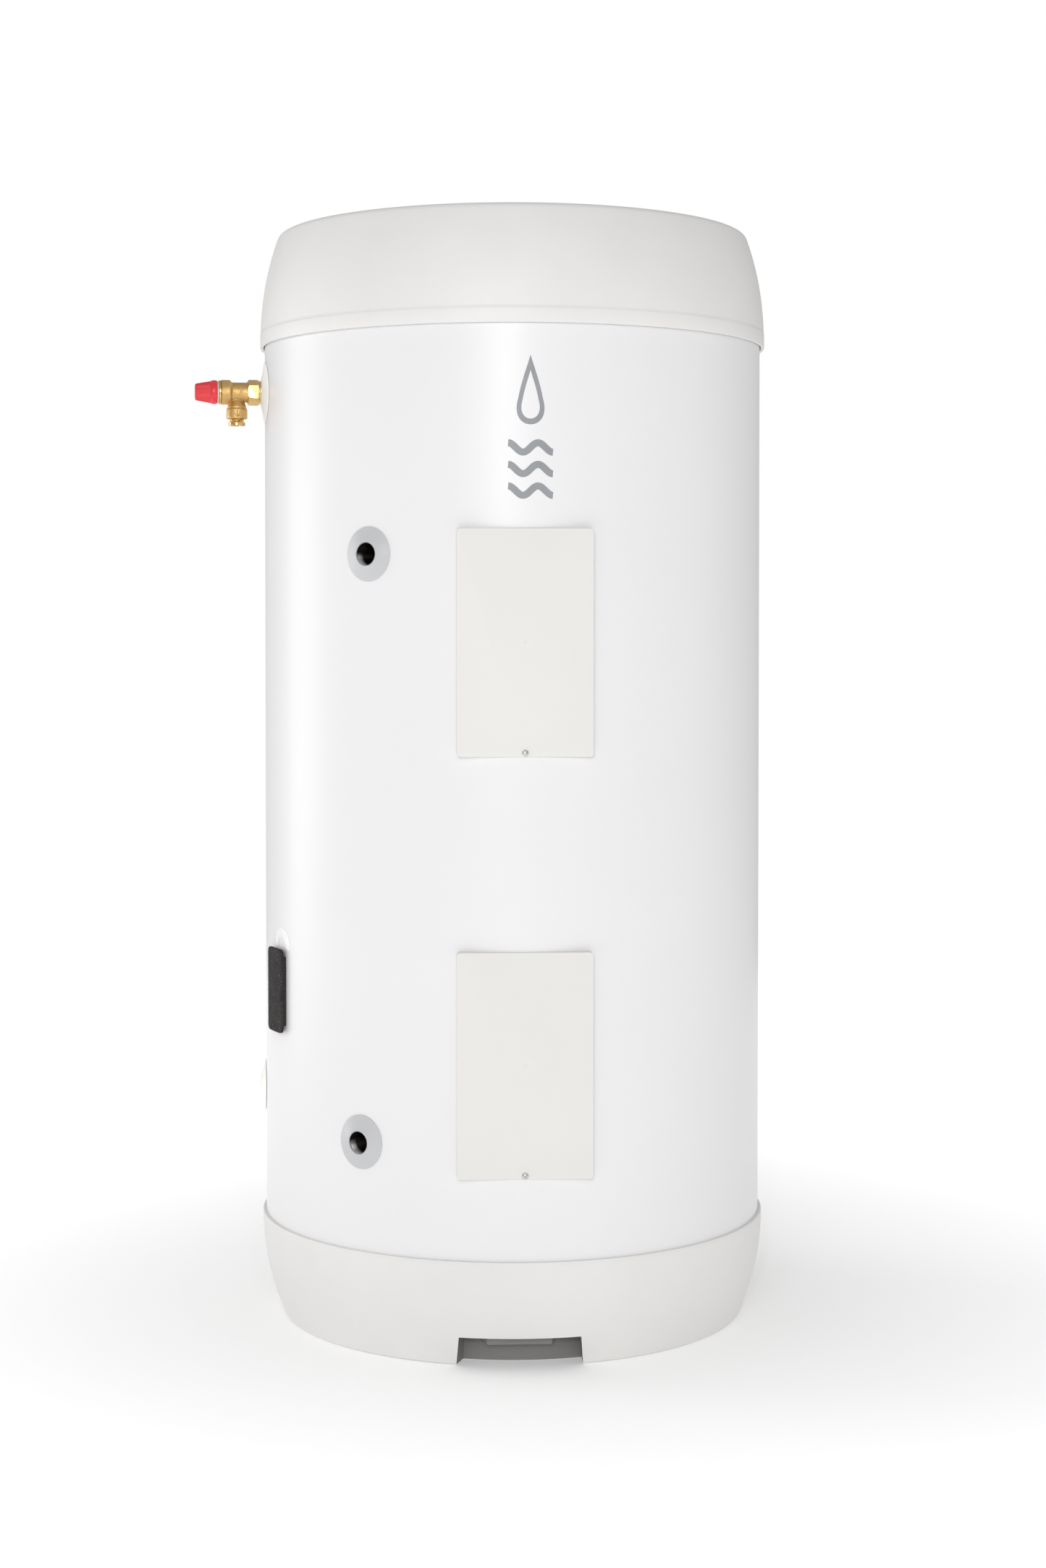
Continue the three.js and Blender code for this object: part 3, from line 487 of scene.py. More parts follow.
def gate_marked(name, colour):
    """The covers' plastic, with the faint disc and ring that the moulding gate leaves in the middle."""
    s = Shader(name)
    base = s.clouded(colour, 6.0, 3.0, 0.985, 1.012)
    fleck = s.ranged(s.noise(700.0, 2.0), 0.66, 0.8, 0.0, 0.22)
    base = s.mix(fleck, base, shade(colour, 0.88))
    rings = None
    halo = None
    for z in COVERS.values():
        moved = s.node("ShaderNodeVectorMath", operation="SUBTRACT")
        s.tree.links.new(s.coords, moved.inputs[0])
        moved.inputs[1].default_value = (0.0, SKIRT_Y * MM, z * MM)
        length = s.node("ShaderNodeVectorMath", operation="LENGTH")
        s.tree.links.new(moved.outputs["Vector"], length.inputs[0])
        distance = length.outputs["Value"]
        off = s.math("ABSOLUTE", s.math("SUBTRACT", distance, 0.0016))
        ring = s.ranged(off, 0.0, 0.0006, 1.0, 0.0)
        disc = s.ranged(distance, 0.004, 0.012, 1.0, 0.0)
        rings = ring if rings is None else s.math("MAXIMUM", rings, ring)
        halo = disc if halo is None else s.math("MAXIMUM", halo, disc)
    base = s.mix(s.math("MULTIPLY", halo, 0.12), base, shade(colour, 1.08))
    base = s.mix(s.math("MULTIPLY", rings, 0.35), base, shade(colour, 0.8))
    rough = s.spread(s.noise(9.0, 4.0), 0.5, 0.6)
    normal = s.bump(rings, 0.3, 0.0004, s.bump(s.noise(1700.0, 2.0), 0.1, 0.0002))
    return s.set(Base_Color=base, Roughness=rough, Normal=normal, Specular_IOR_Level=0.35)


def printed(name, colour, rough, specular=0.3):
    """Ink or film on the jacket: slightly uneven, with pinholes."""
    s = Shader(name)
    base = s.clouded(colour, 40.0, 4.0, 0.95, 1.05)
    holes = s.ranged(s.noise(1500.0, 1.0), 0.75, 0.8, 0.0, 0.5)
    base = s.mix(holes, base, shade(colour, 1.25))
    fine = s.spread(s.noise(300.0, 3.0), rough - 0.05, rough + 0.05)
    normal = s.bump(s.noise(420.0, 2.0), 0.08, 0.0003)
    return s.set(Base_Color=base, Roughness=fine, Normal=normal, Specular_IOR_Level=specular)


JACKET_WHITE = (0.84, 0.835, 0.845)
SHELL_WHITE = (0.80, 0.79, 0.775)
looks = {
    "jacket": enamel("jacket_paint", JACKET_WHITE),
    "shell": moulded("shell_plastic", SHELL_WHITE, 0.46, grain=0.1),
    "cover": gate_marked("cover_plastic", (0.785, 0.775, 0.745)),
    "collar_grey": moulded("collar_grey", (0.565, 0.57, 0.585), 0.34),
    # collar_white glows faintly so it looks lighter: painted light.
    "collar_white": moulded("collar_white", (0.89, 0.875, 0.85), 0.45, glow=0.1),
    "brass_cast": cast_brass("brass_cast", (0.66, 0.43, 0.17), 0.4, 0.9, 1300.0),
    "brass_cut": turned_metal("brass_machined", (0.74, 0.49, 0.2), 0.24),
    "steel": turned_metal("steel_machined", (0.66, 0.655, 0.645), 0.26),
    "stainless": turned_metal("stainless_sheet", (0.6, 0.6, 0.61), 0.34, 900, 0.2, (1.0, 1.0, 12.0)),
    "copper": turned_metal("copper_sheath", (0.72, 0.38, 0.24), 0.35, 1800),
    "foam_black": open_foam("foam_black", (0.034, 0.03, 0.03), (0.34, 0.30, 0.26), 900.0, 0.0008, 0.7),
    "foam_yellow": open_foam("foam_insulation", (0.72, 0.58, 0.30), (0.9, 0.82, 0.6), 500.0, 0.001),
    "rubber": soft_rubber("rubber_black", (0.018, 0.018, 0.02)),
    "phenolic": moulded("phenolic_black", (0.045, 0.042, 0.04), 0.42, grain=0.2, specular=0.5),
    "white": moulded("plastic_white", (0.88, 0.88, 0.87), 0.36),
    "red": moulded("knob_red", (0.74, 0.035, 0.045), 0.34, grain=0.1, tint=0.05, specular=0.5),
    "liner": moulded("liner_grey", (0.30, 0.30, 0.31), 0.5, grain=0.3, grain_scale=700),
    # Dark grey for the inside of the niche and its cable outlet block: painted shade.
    "recess": moulded("shell_recess_painted_shade", (0.25, 0.245, 0.24), 0.6, grain=0.3, grain_scale=700, specular=0.25),
    "steel_bore": bored("steel_bore"),
    "ink": printed("print_grey", (0.31, 0.32, 0.335), 0.45),
    "film": printed("label_film", (0.93, 0.93, 0.925), 0.3),
}


def finish_piece(obj, look, slot, body, *replaced):
    obj.data.materials.clear()
    obj.data.materials.append(looks[look])
    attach(obj, body)
    if replaced:
        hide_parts(*replaced)
    return obj


# ---------- Casing ----------


def on_jacket(s, z, lift=0.0, angle=0.0):
    """The point on the jacket a length s round it from an angle."""
    a = angle + s / JACKET_R
    r = JACKET_R + lift
    return (r * math.sin(a), -r * math.cos(a), z)


def jacket():
    """One rolled sheet with its openings left out, and a folded seam at the back."""
    bottom, top = low("jacket").z, high("jacket").z
    windows = []
    half = math.asin((COVER_W / 2 - 5) / JACKET_R)
    for z in COVERS.values():
        windows.append((-half, half, z - COVER_H / 2 + 12, z + COVER_H / 2 - 5))
    for angle, z in PORTS.values():
        reach = 17.5 / JACKET_R
        windows.append((angle - reach, angle + reach, z - 17.5, z + 17.5))
    reach = 6.5 / JACKET_R
    windows.append((PAD_ANGLE - reach, PAD_ANGLE + reach, PAD_Z - 6.5, PAD_Z + 6.5))
    for centre in SCREWS.values():
        windows.append((-0.01, 0.01, centre.z - 2.9, centre.z + 2.9))
    seam = 5.5 / JACKET_R
    angles = {round(-math.pi + 2 * math.pi * i / 192, 6) for i in range(192)}
    heights = {bottom, top}
    for a0, a1, z0, z1 in windows:
        angles |= {round(a0, 6), round(a1, 6)}
        heights |= {round(z0, 3), round(z1, 3)}
    edges = [math.pi - seam - 0.002, math.pi - seam, -math.pi + seam, -math.pi + seam + 0.002]
    angles |= {round(e, 6) for e in edges}
    heights |= {bottom + 13, top - 13}
    step = 40
    heights |= {bottom + step * i for i in range(1, int((top - bottom) / step))}
    angles = sorted(angles)
    heights = sorted(heights)

    def radius(a, z):
        inside = abs(abs(a) - math.pi) <= seam + 1e-6
        return JACKET_R + (0.75 if inside and bottom + 12 < z < top - 12 else 0.0)

    verts = [(radius(a, z) * math.sin(a), -radius(a, z) * math.cos(a), z) for z in heights for a in angles]
    n = len(angles)
    faces = []
    for i in range(len(heights) - 1):
        zm = (heights[i] + heights[i + 1]) / 2
        for j in range(n):
            k = (j + 1) % n
            am = (angles[j] + angles[k]) / 2 if k else math.pi
            if any(a0 < am < a1 and z0 < zm < z1 for a0, a1, z0, z1 in windows):
                continue
            faces.append((i * n + j, i * n + k, (i + 1) * n + k, (i + 1) * n + j))
    obj = piece("jacket_sheet", verts, faces)
    solidify = obj.modifiers.new("sheet", "SOLIDIFY")
    solidify.thickness = SHEET * MM
    solidify.offset = -1.0
    bake(obj, 50)
    return finish_piece(obj, "jacket", "jacket_paint", "heater", "jacket")


def lid():
    """A moulded cap: a rim band, a side that curves in, a tight shoulder and a slightly domed top."""
    side_height = LID_TOP_Z - LID_RIM_Z - 7

    def radius(d):
        return LID_R - 21.5 * (d / side_height) ** 2.25

    outline = [(JACKET_R + 1.5, LID_RIM_Z + 0.6), (JACKET_R + 2.1, LID_RIM_Z)]
    outline += [(LID_R - 0.9, LID_RIM_Z), (LID_R - 0.25, LID_RIM_Z + 0.25), (LID_R, LID_RIM_Z + 0.9)]
    outline += [(LID_R, LID_RIM_Z + 15.4), (LID_R - 0.06, LID_RIM_Z + 15.8)]
    outline += [(LID_R - 0.25, LID_RIM_Z + 16.1)]
    start = 16.4
    shoulder = side_height - 5
    steps = 30
    for i in range(steps + 1):
        d = start + (shoulder - start) * i / steps
        outline.append((radius(d) - 0.2, LID_RIM_Z + d))
    last = Vector(outline[-1])
    before = Vector(outline[-2])
    lean = (last - before).normalized()
    corner = last + lean * 6.5
    end = Vector((corner.x - 7.5, corner.y + 0.35))
    for i in range(1, 9):
        t = i / 8
        outline.append(tuple((1 - t) ** 2 * last + 2 * t * (1 - t) * corner + t**2 * end))
    rise = LID_TOP_Z - end.y
    for i in range(1, 13):
        t = i / 12
        outline.append((end.x * (1 - t), end.y + rise * (1 - (1 - t) ** 2)))
    outline[-1] = (0, LID_TOP_Z)
    inside = [(0, LID_TOP_Z - 3.4), (end.x - 4, end.y - 3.4)]
    inside += [(radius(shoulder * k) - 3.4, LID_RIM_Z + shoulder * k) for k in (0.95, 0.75, 0.5, 0.25)]
    inside += [(JACKET_R - 3.5, LID_RIM_Z + 13.6), (JACKET_R + 1.2, LID_RIM_Z + 12.6)]
    obj = lathe("lid_cap", outline + inside, 192, sharp=28)
    return finish_piece(obj, "shell", "moulded_shell", "heater", "top_lid")


FOOT_R = 270.5
FOOT_Z = 3.0
BULGE = 6.3


def base_radius(z):
    """The base's side is one arc from its foot to its rim."""
    chord = Vector((BASE_R - FOOT_R, BASE_RIM_Z - FOOT_Z))
    half = chord.length / 2
    radius = (half**2 + BULGE**2) / (2 * BULGE)
    outward = Vector((chord.y, -chord.x)).normalized()
    centre = Vector((FOOT_R, FOOT_Z)) + chord * 0.5 + outward * (BULGE - radius)
    return centre.x + math.sqrt(radius**2 - (z - centre.y) ** 2)


NICHE_TOP = 33.4
NICHE_R = 245.0


def niche_form(name, grow, radius, bottom, top, steps=16):
    """The niche has draft: it is narrower at its top. Its left side also slants in towards its back."""
    rings = []
    for z in (bottom, top):
        lean = z / NICHE_TOP
        front = -BASE_R - 10
        front_left = -73.3 + 2.2 * lean - grow
        back_left = -65.0 + 1.2 * lean - grow
        right = 64.6 - 3.0 * lean + grow
        ring = [(front_left, front, z), (right, front, z)]
        for i in range(steps + 1):
            x = right + (back_left - right) * i / steps
            ring.append((x, -math.sqrt(radius**2 - x**2), z))
        ring.append((front_left, -258 + 2 * lean, z))
        rings.append(ring)
    return loft(name, rings, cap=True)


def base():
    """A moulded bowl with a closed floor, and the niche in its front."""
    outline = [(0, 0), (FOOT_R - 3.6, 0), (FOOT_R - 1.8, 0.35), (FOOT_R - 0.5, 1.4), (FOOT_R, FOOT_Z)]
    steps = 26
    for i in range(1, steps + 1):
        z = FOOT_Z + (BASE_RIM_Z - 1.0 - FOOT_Z) * i / steps
        outline.append((base_radius(z), z))
    outline += [(BASE_R - 0.25, BASE_RIM_Z - 0.3), (BASE_R - 0.8, BASE_RIM_Z), (BASE_R - 1.5, BASE_RIM_Z)]
    ledge = BASE_RIM_Z - 12.3
    outline += [(JACKET_R + 0.12, BASE_RIM_Z - 0.15), (JACKET_R + 0.12, BASE_RIM_Z - 2.0)]
    outline += [(JACKET_R + 0.4, ledge), (JACKET_R - 3.5, ledge)]
    outline += [(base_radius(z) - 3.5, z) for z in (90, 70, 50, 30, 15, 4)]
    outline += [(0, 4)]
    bowl = lathe("base_bowl", outline, 192)
    walls = niche_form("niche_walls", 3, 242, 1, 36.5)
    inside = [(0, 1)] + [(base_radius(z) - 1.5, z) for z in (4, 15, 25, 34, 45)] + [(0, 45)]
    walls = boolean(walls, lathe("inside", inside, 192), "INTERSECT")
    boolean(bowl, walls, "UNION")
    boolean(bowl, niche_form("niche", 0, NICHE_R, -5, NICHE_TOP))
    duct = middle("lower_cable_duct")
    half = (high("lower_cable_duct") - low("lower_cable_duct")) / 2
    reach = half + Vector((0.6, 0.6, 0))
    hole = block("duct_hole", -reach.x, reach.x, duct.y - reach.y, duct.y + reach.y, -1, 41)
    boolean(bowl, hole, sharp=30)
    finish_piece(bowl, "shell", "moulded_shell", "heater", "base_plinth")
    # Faces inside the niche take the dark recess material: painted shade.
    bowl.data.materials.append(looks["recess"])
    for face in bowl.data.polygons:
        x, y, z = face.center / MM
        r = math.hypot(x, y)
        inside = -75 < x < 66 and y < 0 and z < NICHE_TOP + 0.2 and r > NICHE_R - 1
        if inside and r < base_radius(max(z, FOOT_Z)) - 1.5 and z > 0.5:
            face.material_index = 1
    return bowl


def cable_outlet():
    """The block under the niche's ceiling: wide at its back, with the cable's hole in its underside."""
    bottom, top = low("cable_outlet").z, NICHE_TOP + 0.2
    front = low("cable_outlet").y
    left, right = low("cable_outlet").x, high("cable_outlet").x
    plan = [(left + 8.2, front), (right - 7.6, front), (right, -241), (left, -241)]
    obj = prism("outlet_block", plan, bottom, top)
    room = [(246.2, 0), (300, 0), (300, 60), (246.2, 60)]
    boolean(obj, lathe("outlet_room", room, 192), "INTERSECT")
    centre = middle("cable_grommet")
    place = Matrix.Translation((centre.x, centre.y, 0))
    boolean(obj, lathe("outlet_bore", [(0, 0), (5.5, 0), (5.5, 50), (0, 50)], 48, place))
    bevel(obj, 0.7, 3)
    # The block takes the dark recess material: painted shade.
    finish_piece(obj, "recess", "moulded_shell", "heater", "cable_outlet")
    z0, z1 = low("cable_grommet").z, high("cable_grommet").z
    outline = [(3.6, z0 + 0.5), (3.9, z0 + 0.1), (4.3, z0), (4.6, z0 + 0.1), (5.2, z0 + 0.8)]
    outline += [(4.9, z0 + 2.2), (5.2, z0 + 2.8), (5.2, z1), (3.6, z1)]
    grommet = lathe("outlet_grommet", outline, 48, place)
    finish_piece(grommet, "rubber", "black_rubber", "heater", "cable_grommet")


# ---------- Element covers ----------


def cover(side):
    """A flat plate with softened edges and a skirt whose back edge follows the round jacket."""
    z = COVERS[side]
    face_y = SKIRT_Y
    wall = 2.0
    plate = 2.2
    soft = 1.1
    clear = JACKET_R + 0.3

    def outline(inset):
        corner = max(0.6, 4.0 - inset)
        return rounded_rectangle(COVER_W - 2 * inset, COVER_H - 2 * inset, corner, 8, 36)

    def back_y(x):
        return -math.sqrt(clear**2 - x**2)

    rings = []
    for k in range(5):
        a = math.radians(90 * k / 4)
        inset = soft * (1 - math.sin(a))
        y = face_y + soft * (1 - math.cos(a))
        rings.append([(x, y, z + h) for x, h in outline(inset)])
    rings.append([(x, back_y(x), z + h) for x, h in outline(0)])
    inner = []
    for x, h in outline(wall):
        inner.append((x, max(back_y(x), face_y + plate + 0.01), z + h))
    rings.append(inner)
    rings.append([(x, face_y + plate, z + h) for x, h in outline(wall)])
    obj = loft(f"{side}_cover_plate", rings, cap=True)
    place = port_matrix(0.0, SCREWS[side].z)
    hole = lathe("hole", [(0, 270), (2.1, 270), (2.1, 300), (0, 300)], 32, place)
    boolean(obj, hole, sharp=30)
    finish_piece(obj, "cover", "cover_plastic", f"{side}_door", f"{side}_cover")


def screw(side):
    """A pan head with a cross recess, and its shank."""
    z = SCREWS[side].z
    tip = -high(f"{side}_cover_screw").y
    top = -low(f"{side}_cover_screw").y
    seat = top - 2.3
    place = port_matrix(0.0, z)
    outline = [(0, tip), (0.6, tip + 0.6), (1.5, tip + 2)]
    turns = int((seat - tip - 3) / 0.9)
    for i in range(turns):
        z0 = tip + 2.2 + 0.9 * i
        outline += [(1.35, z0), (1.75, z0 + 0.45)]
    outline += [(1.5, seat - 0.2), (1.7, seat), (3.3, seat), (3.5, seat + 0.25), (3.42, seat + 0.9)]
    outline += [(3.05, seat + 1.5), (2.4, seat + 1.95), (1.5, seat + 2.2), (0, seat + 2.3)]
    obj = lathe(f"{side}_screw", outline, 40, place, sharp=40)
    for turn in (0, 1):
        shape = [(-1.9, -0.36), (1.9, -0.36), (1.9, 0.36), (-1.9, 0.36)]
        inner = [(x * 0.35, y * 0.6) for x, y in shape]
        spin = place @ Matrix.Rotation(math.radians(90 * turn + 20), 4, "Z")
        rings = [[(x, y, top + 0.5) for x, y in shape], [(x, y, top - 1.4) for x, y in inner]]
        boolean(obj, loft("slot", rings, spin, cap=True), sharp=40)
    finish_piece(obj, "steel", "stainless", f"{side}_door", f"{side}_cover_screw")


# ---------- Ports ----------


def collar(name, look, slot):
    """A shallow cone of plastic whose rim lies on the round jacket."""
    angle, z = PORTS[name]
    rim = (high(f"{name}_collar").z - low(f"{name}_collar").z) / 2
    place = port_matrix(angle, z)
    tip = JACKET_R + (5.3 if name == "relief" else 5.8)
    bore = 13.9
    foot = JACKET_R + 0.55
    profile = [(17.2, JACKET_R + 2.4), (17.2, foot), (rim - 0.3, foot), (rim, foot + 0.25)]
    profile += [(rim - 0.05, foot + 0.65), (rim - 0.45, foot + 0.85)]
    for i in range(1, 15):
        t = i / 15
        r = rim - 0.45 + (bore + 0.9 - rim + 0.45) * t
        profile.append((r, foot + 0.85 + (tip - foot - 0.85) * (0.78 * t + 0.22 * t * t)))
    profile += [(bore + 0.75, tip - 0.1), (bore + 0.4, tip), (bore + 0.1, tip - 0.15), (bore, tip - 0.5)]
    if name.startswith("coil"):
        lip = 12.82
        profile[-3:] = [(bore, tip + 0.2), (12.95, tip + 0.3), (lip, tip)]
        profile += [(lip, tip - 1.0), (bore, tip - 1.2)]
    profile += [(bore, JACKET_R + 2.4)]
    rings = []
    segments = 96
    for r, h in profile:
        ring = []
        share = max(0.0, min(1.0, (r - bore) / (rim - bore)))
        share = share * share * (3 - 2 * share)
        for j in range(segments):
            a = 2 * math.pi * j / segments
            x = r * math.cos(a)
            if name.startswith("coil"):
                x *= 1 - share * (0.075 if x > 0 else 0.02)
            drop = JACKET_R - math.sqrt(JACKET_R**2 - x * x)
            ring.append((x, r * math.sin(a), h - drop * share))
        rings.append(ring)
    obj = loft(f"{name}_cone", rings, place, loop=True, sharp=50)
    return finish_piece(obj, look, slot, "heater", f"{name}_collar")


def socket(name):
    """A steel boss with a G 3/4 thread cut in it."""
    angle, z = PORTS[name]
    place = port_matrix(angle, z)
    start = 238.6
    face = JACKET_R + 6.2
    pitch = 1.814
    crest, root = 12.06, 12.8
    segments = 56
    per_turn = 8
    outline = [(16.5, start), (16.5, JACKET_R + 1.9), (13.4, JACKET_R + 2.1), (13.5, face - 1.7)]
    outline += [(12.75, face - 1.5), (12.75, face - 0.2), (12.6, face)]
    outline += [(12.35, face), (12.1, face - 0.3), (crest, face - 0.6)]
    rings = [circle(r, h, segments) for r, h in outline]
    deep = 262.0
    steps = int((face - 0.9 - deep) / pitch * per_turn)
    for i in range(steps + 1):
        h0 = face - 0.9 - pitch * i / per_turn
        ring = []
        for j in range(segments):
            turn = j / segments
            phase = (h0 / pitch + turn) % 1.0
            wave = abs(2 * phase - 1)
            wave = min(1.0, max(0.0, wave * 1.5 - 0.25))
            fade = min(1.0, (face - 0.9 - h0) / 1.6)
            r = crest + (root - crest) * wave * fade
            a = 2 * math.pi * turn
            ring.append((r * math.cos(a), r * math.sin(a), h0))
        rings.append(ring)
    rings += [circle(crest, deep - 0.5, segments), circle(crest, start, segments)]
    obj = loft(f"{name}_threaded_boss", rings, place, loop=True, sharp=38)
    return finish_piece(obj, "steel_bore", "stainless", "heater", f"{name}_socket")


# ---------- Sensor pad ----------


def curved_pad(name, width, height, corner, inner, outer, rough=0.0, crack=False, offset=0.0):
    """A rounded pad bent round the jacket. rough is how ragged its cut edges are."""
    steps = 10
    side = 48
    outline = rounded_rectangle(width, height, corner, steps, side)
    n = len(outline)
    edge = 1.0
    layers = [(0.0, inner), (0.0, outer - edge), (0.35 * edge, outer - 0.25 * edge), (1.1 * edge, outer)]
    layers += [(width * 0.12, outer + 0.0), (width * 0.24, outer), (width * 0.36, outer)]
    rings = []
    for inset, r in layers:
        ring = []
        fx = (width - 2 * inset) / width
        fy = (height - 2 * inset) / height
        for j, (x, h) in enumerate(outline):
            px, ph = x * fx, h * fy
            jag = 0.0
            if rough and inset < 2:
                jag = rough * (
                    math.sin(h * 1.7 + 2.0 * math.sin(x * 0.9)) * math.sin(h * 0.53 + x) * 0.6
                    + math.sin(h * 4.1 + x * 3.3) * 0.4
                )
            direction = Vector((x / (width / 2), h / (height / 2), 0))
            direction = direction.normalized() * jag
            px += direction.x
            ph += direction.y
            radius = r
            if crack and r > inner + 0.5:
                line = -width * 0.23 + 0.6 * math.sin(ph * 0.9)
                near = max(0.0, 1 - abs(px - line) / 0.9)
                reach = max(0.0, min(1.0, (-height / 2 + 11 - ph) / 4))
                radius -= 2.6 * near * reach
            a = PAD_ANGLE + (px + offset) / JACKET_R
            ring.append((radius * math.sin(a), -radius * math.cos(a), PAD_Z + ph))
        rings.append(ring)
    verts = [p for r in rings for p in r]
    faces = []
    for i in range(len(rings) - 1):
        for j in range(n):
            k = (j + 1) % n
            faces.append((i * n + j, i * n + k, (i + 1) * n + k, (i + 1) * n + j))
    faces.append(tuple(range(n)))
    top = len(verts) - n
    quarter = n // 2
    for j in range(quarter):
        a, b = j, (j + 1) % n
        c, d = (n - 2 - j) % n, (n - 1 - j) % n
        if len({a, b, c, d}) == 4:
            faces.append((top + a, top + b, top + c, top + d))
    return piece(name, verts, faces, sharp=60)


def sensor():
    height = high("sensor_foam_pad").z - low("sensor_foam_pad").z
    inner = JACKET_R + 3.8
    foam = curved_pad("foam_pad", 44.5, height - 0.2, 6.0, inner, inner + 3.4, 0.4, crack=True, offset=3.4)
    finish_piece(foam, "foam_black", "black_foam", "heater", "sensor_foam_pad")
    height = high("sensor_gasket").z - low("sensor_gasket").z
    gasket = curved_pad("pad_gasket", 49.8, height, 2.0, JACKET_R + 0.5, JACKET_R + 3.7, 0.06)
    finish_piece(gasket, "rubber", "black_rubber", "heater", "sensor_gasket")


def half_ring_label():
    """A blank half-ring sticker round the top of the pad."""
    centre = math.radians(-67.0)
    inner, outer = 13.2, 23.5
    rings = []
    foot = high("sensor_foam_pad").z + 0.4
    turns = [math.radians(180 * i / 48) for i in range(49)]
    for r, lift in ((inner, 0.02), (inner + 0.05, 0.3), (outer - 0.05, 0.3), (outer, 0.02)):
        rings.append([on_jacket(r * math.cos(a), foot + r * math.sin(a), lift, centre) for a in turns])
    obj = loft("half_ring_label", rings, closed_rings=False)
    return finish_piece(obj, "film", "white_plastic", "heater")


# ---------- Printed pictogram ----------


INK = 0.09
PRINT_ANGLE = math.radians(1.1)


def stroke(points, width):
    """A flat band of one width along a line on the jacket."""
    left, right = [], []
    for i, p in enumerate(points):
        a = Vector(points[max(0, i - 1)])
        b = Vector(points[min(len(points) - 1, i + 1)])
        along = (b - a).normalized()
        side = Vector((-along.y, along.x)) * width / 2
        left.append(Vector(p) + side)
        right.append(Vector(p) - side)
    return [[on_jacket(q.x, q.y, INK, PRINT_ANGLE) for q in row] for row in (left, right)]


def pictogram():
    """A drop over three waves, in grey ink."""
    verts, faces = [], []

    def add(rows, closed=False):
        start = len(verts)
        n = len(rows[0])
        for row in rows:
            verts.extend(row)
        for i in range(n if closed else n - 1):
            k = (i + 1) % n
            faces.append((start + i, start + k, start + n + k, start + n + i))

    top = 1092.0
    drop = []
    centre_z, radius = 1040.0, 20.5
    for i in range(61):
        t = math.pi * 2 * i / 60
        x = radius * math.sin(t) * math.sin(t / 2) ** 1.3
        z = centre_z + 6.0 + (top - centre_z - 6.0) * math.cos(t) * (1.0 if math.cos(t) > 0 else 0.62)
        drop.append((x, z))
    outer = drop[:-1]
    middle_z = centre_z - 2.0
    inner = [(x * 0.66, middle_z + (z - middle_z) * 0.7) for x, z in outer]
    rows = [[on_jacket(x, z, INK, PRINT_ANGLE) for x, z in line] for line in (outer, inner)]
    add(rows, closed=True)
    for level in (993.0, 970.0, 947.0):
        line = []
        for i in range(49):
            x = -24.0 + 48.0 * i / 48
            line.append((x, level + 5.0 * math.sin(x / 24.0 * math.pi * 1.5)))
        add(stroke(line, 7.5))
    obj = piece("drop_and_waves_print", verts, faces)
    return finish_piece(obj, "ink", "collar_grey", "heater")


# ---------- Relief valve ----------


FLUTE_DEPTH = 0.42
RING_MARK_R = 4.6


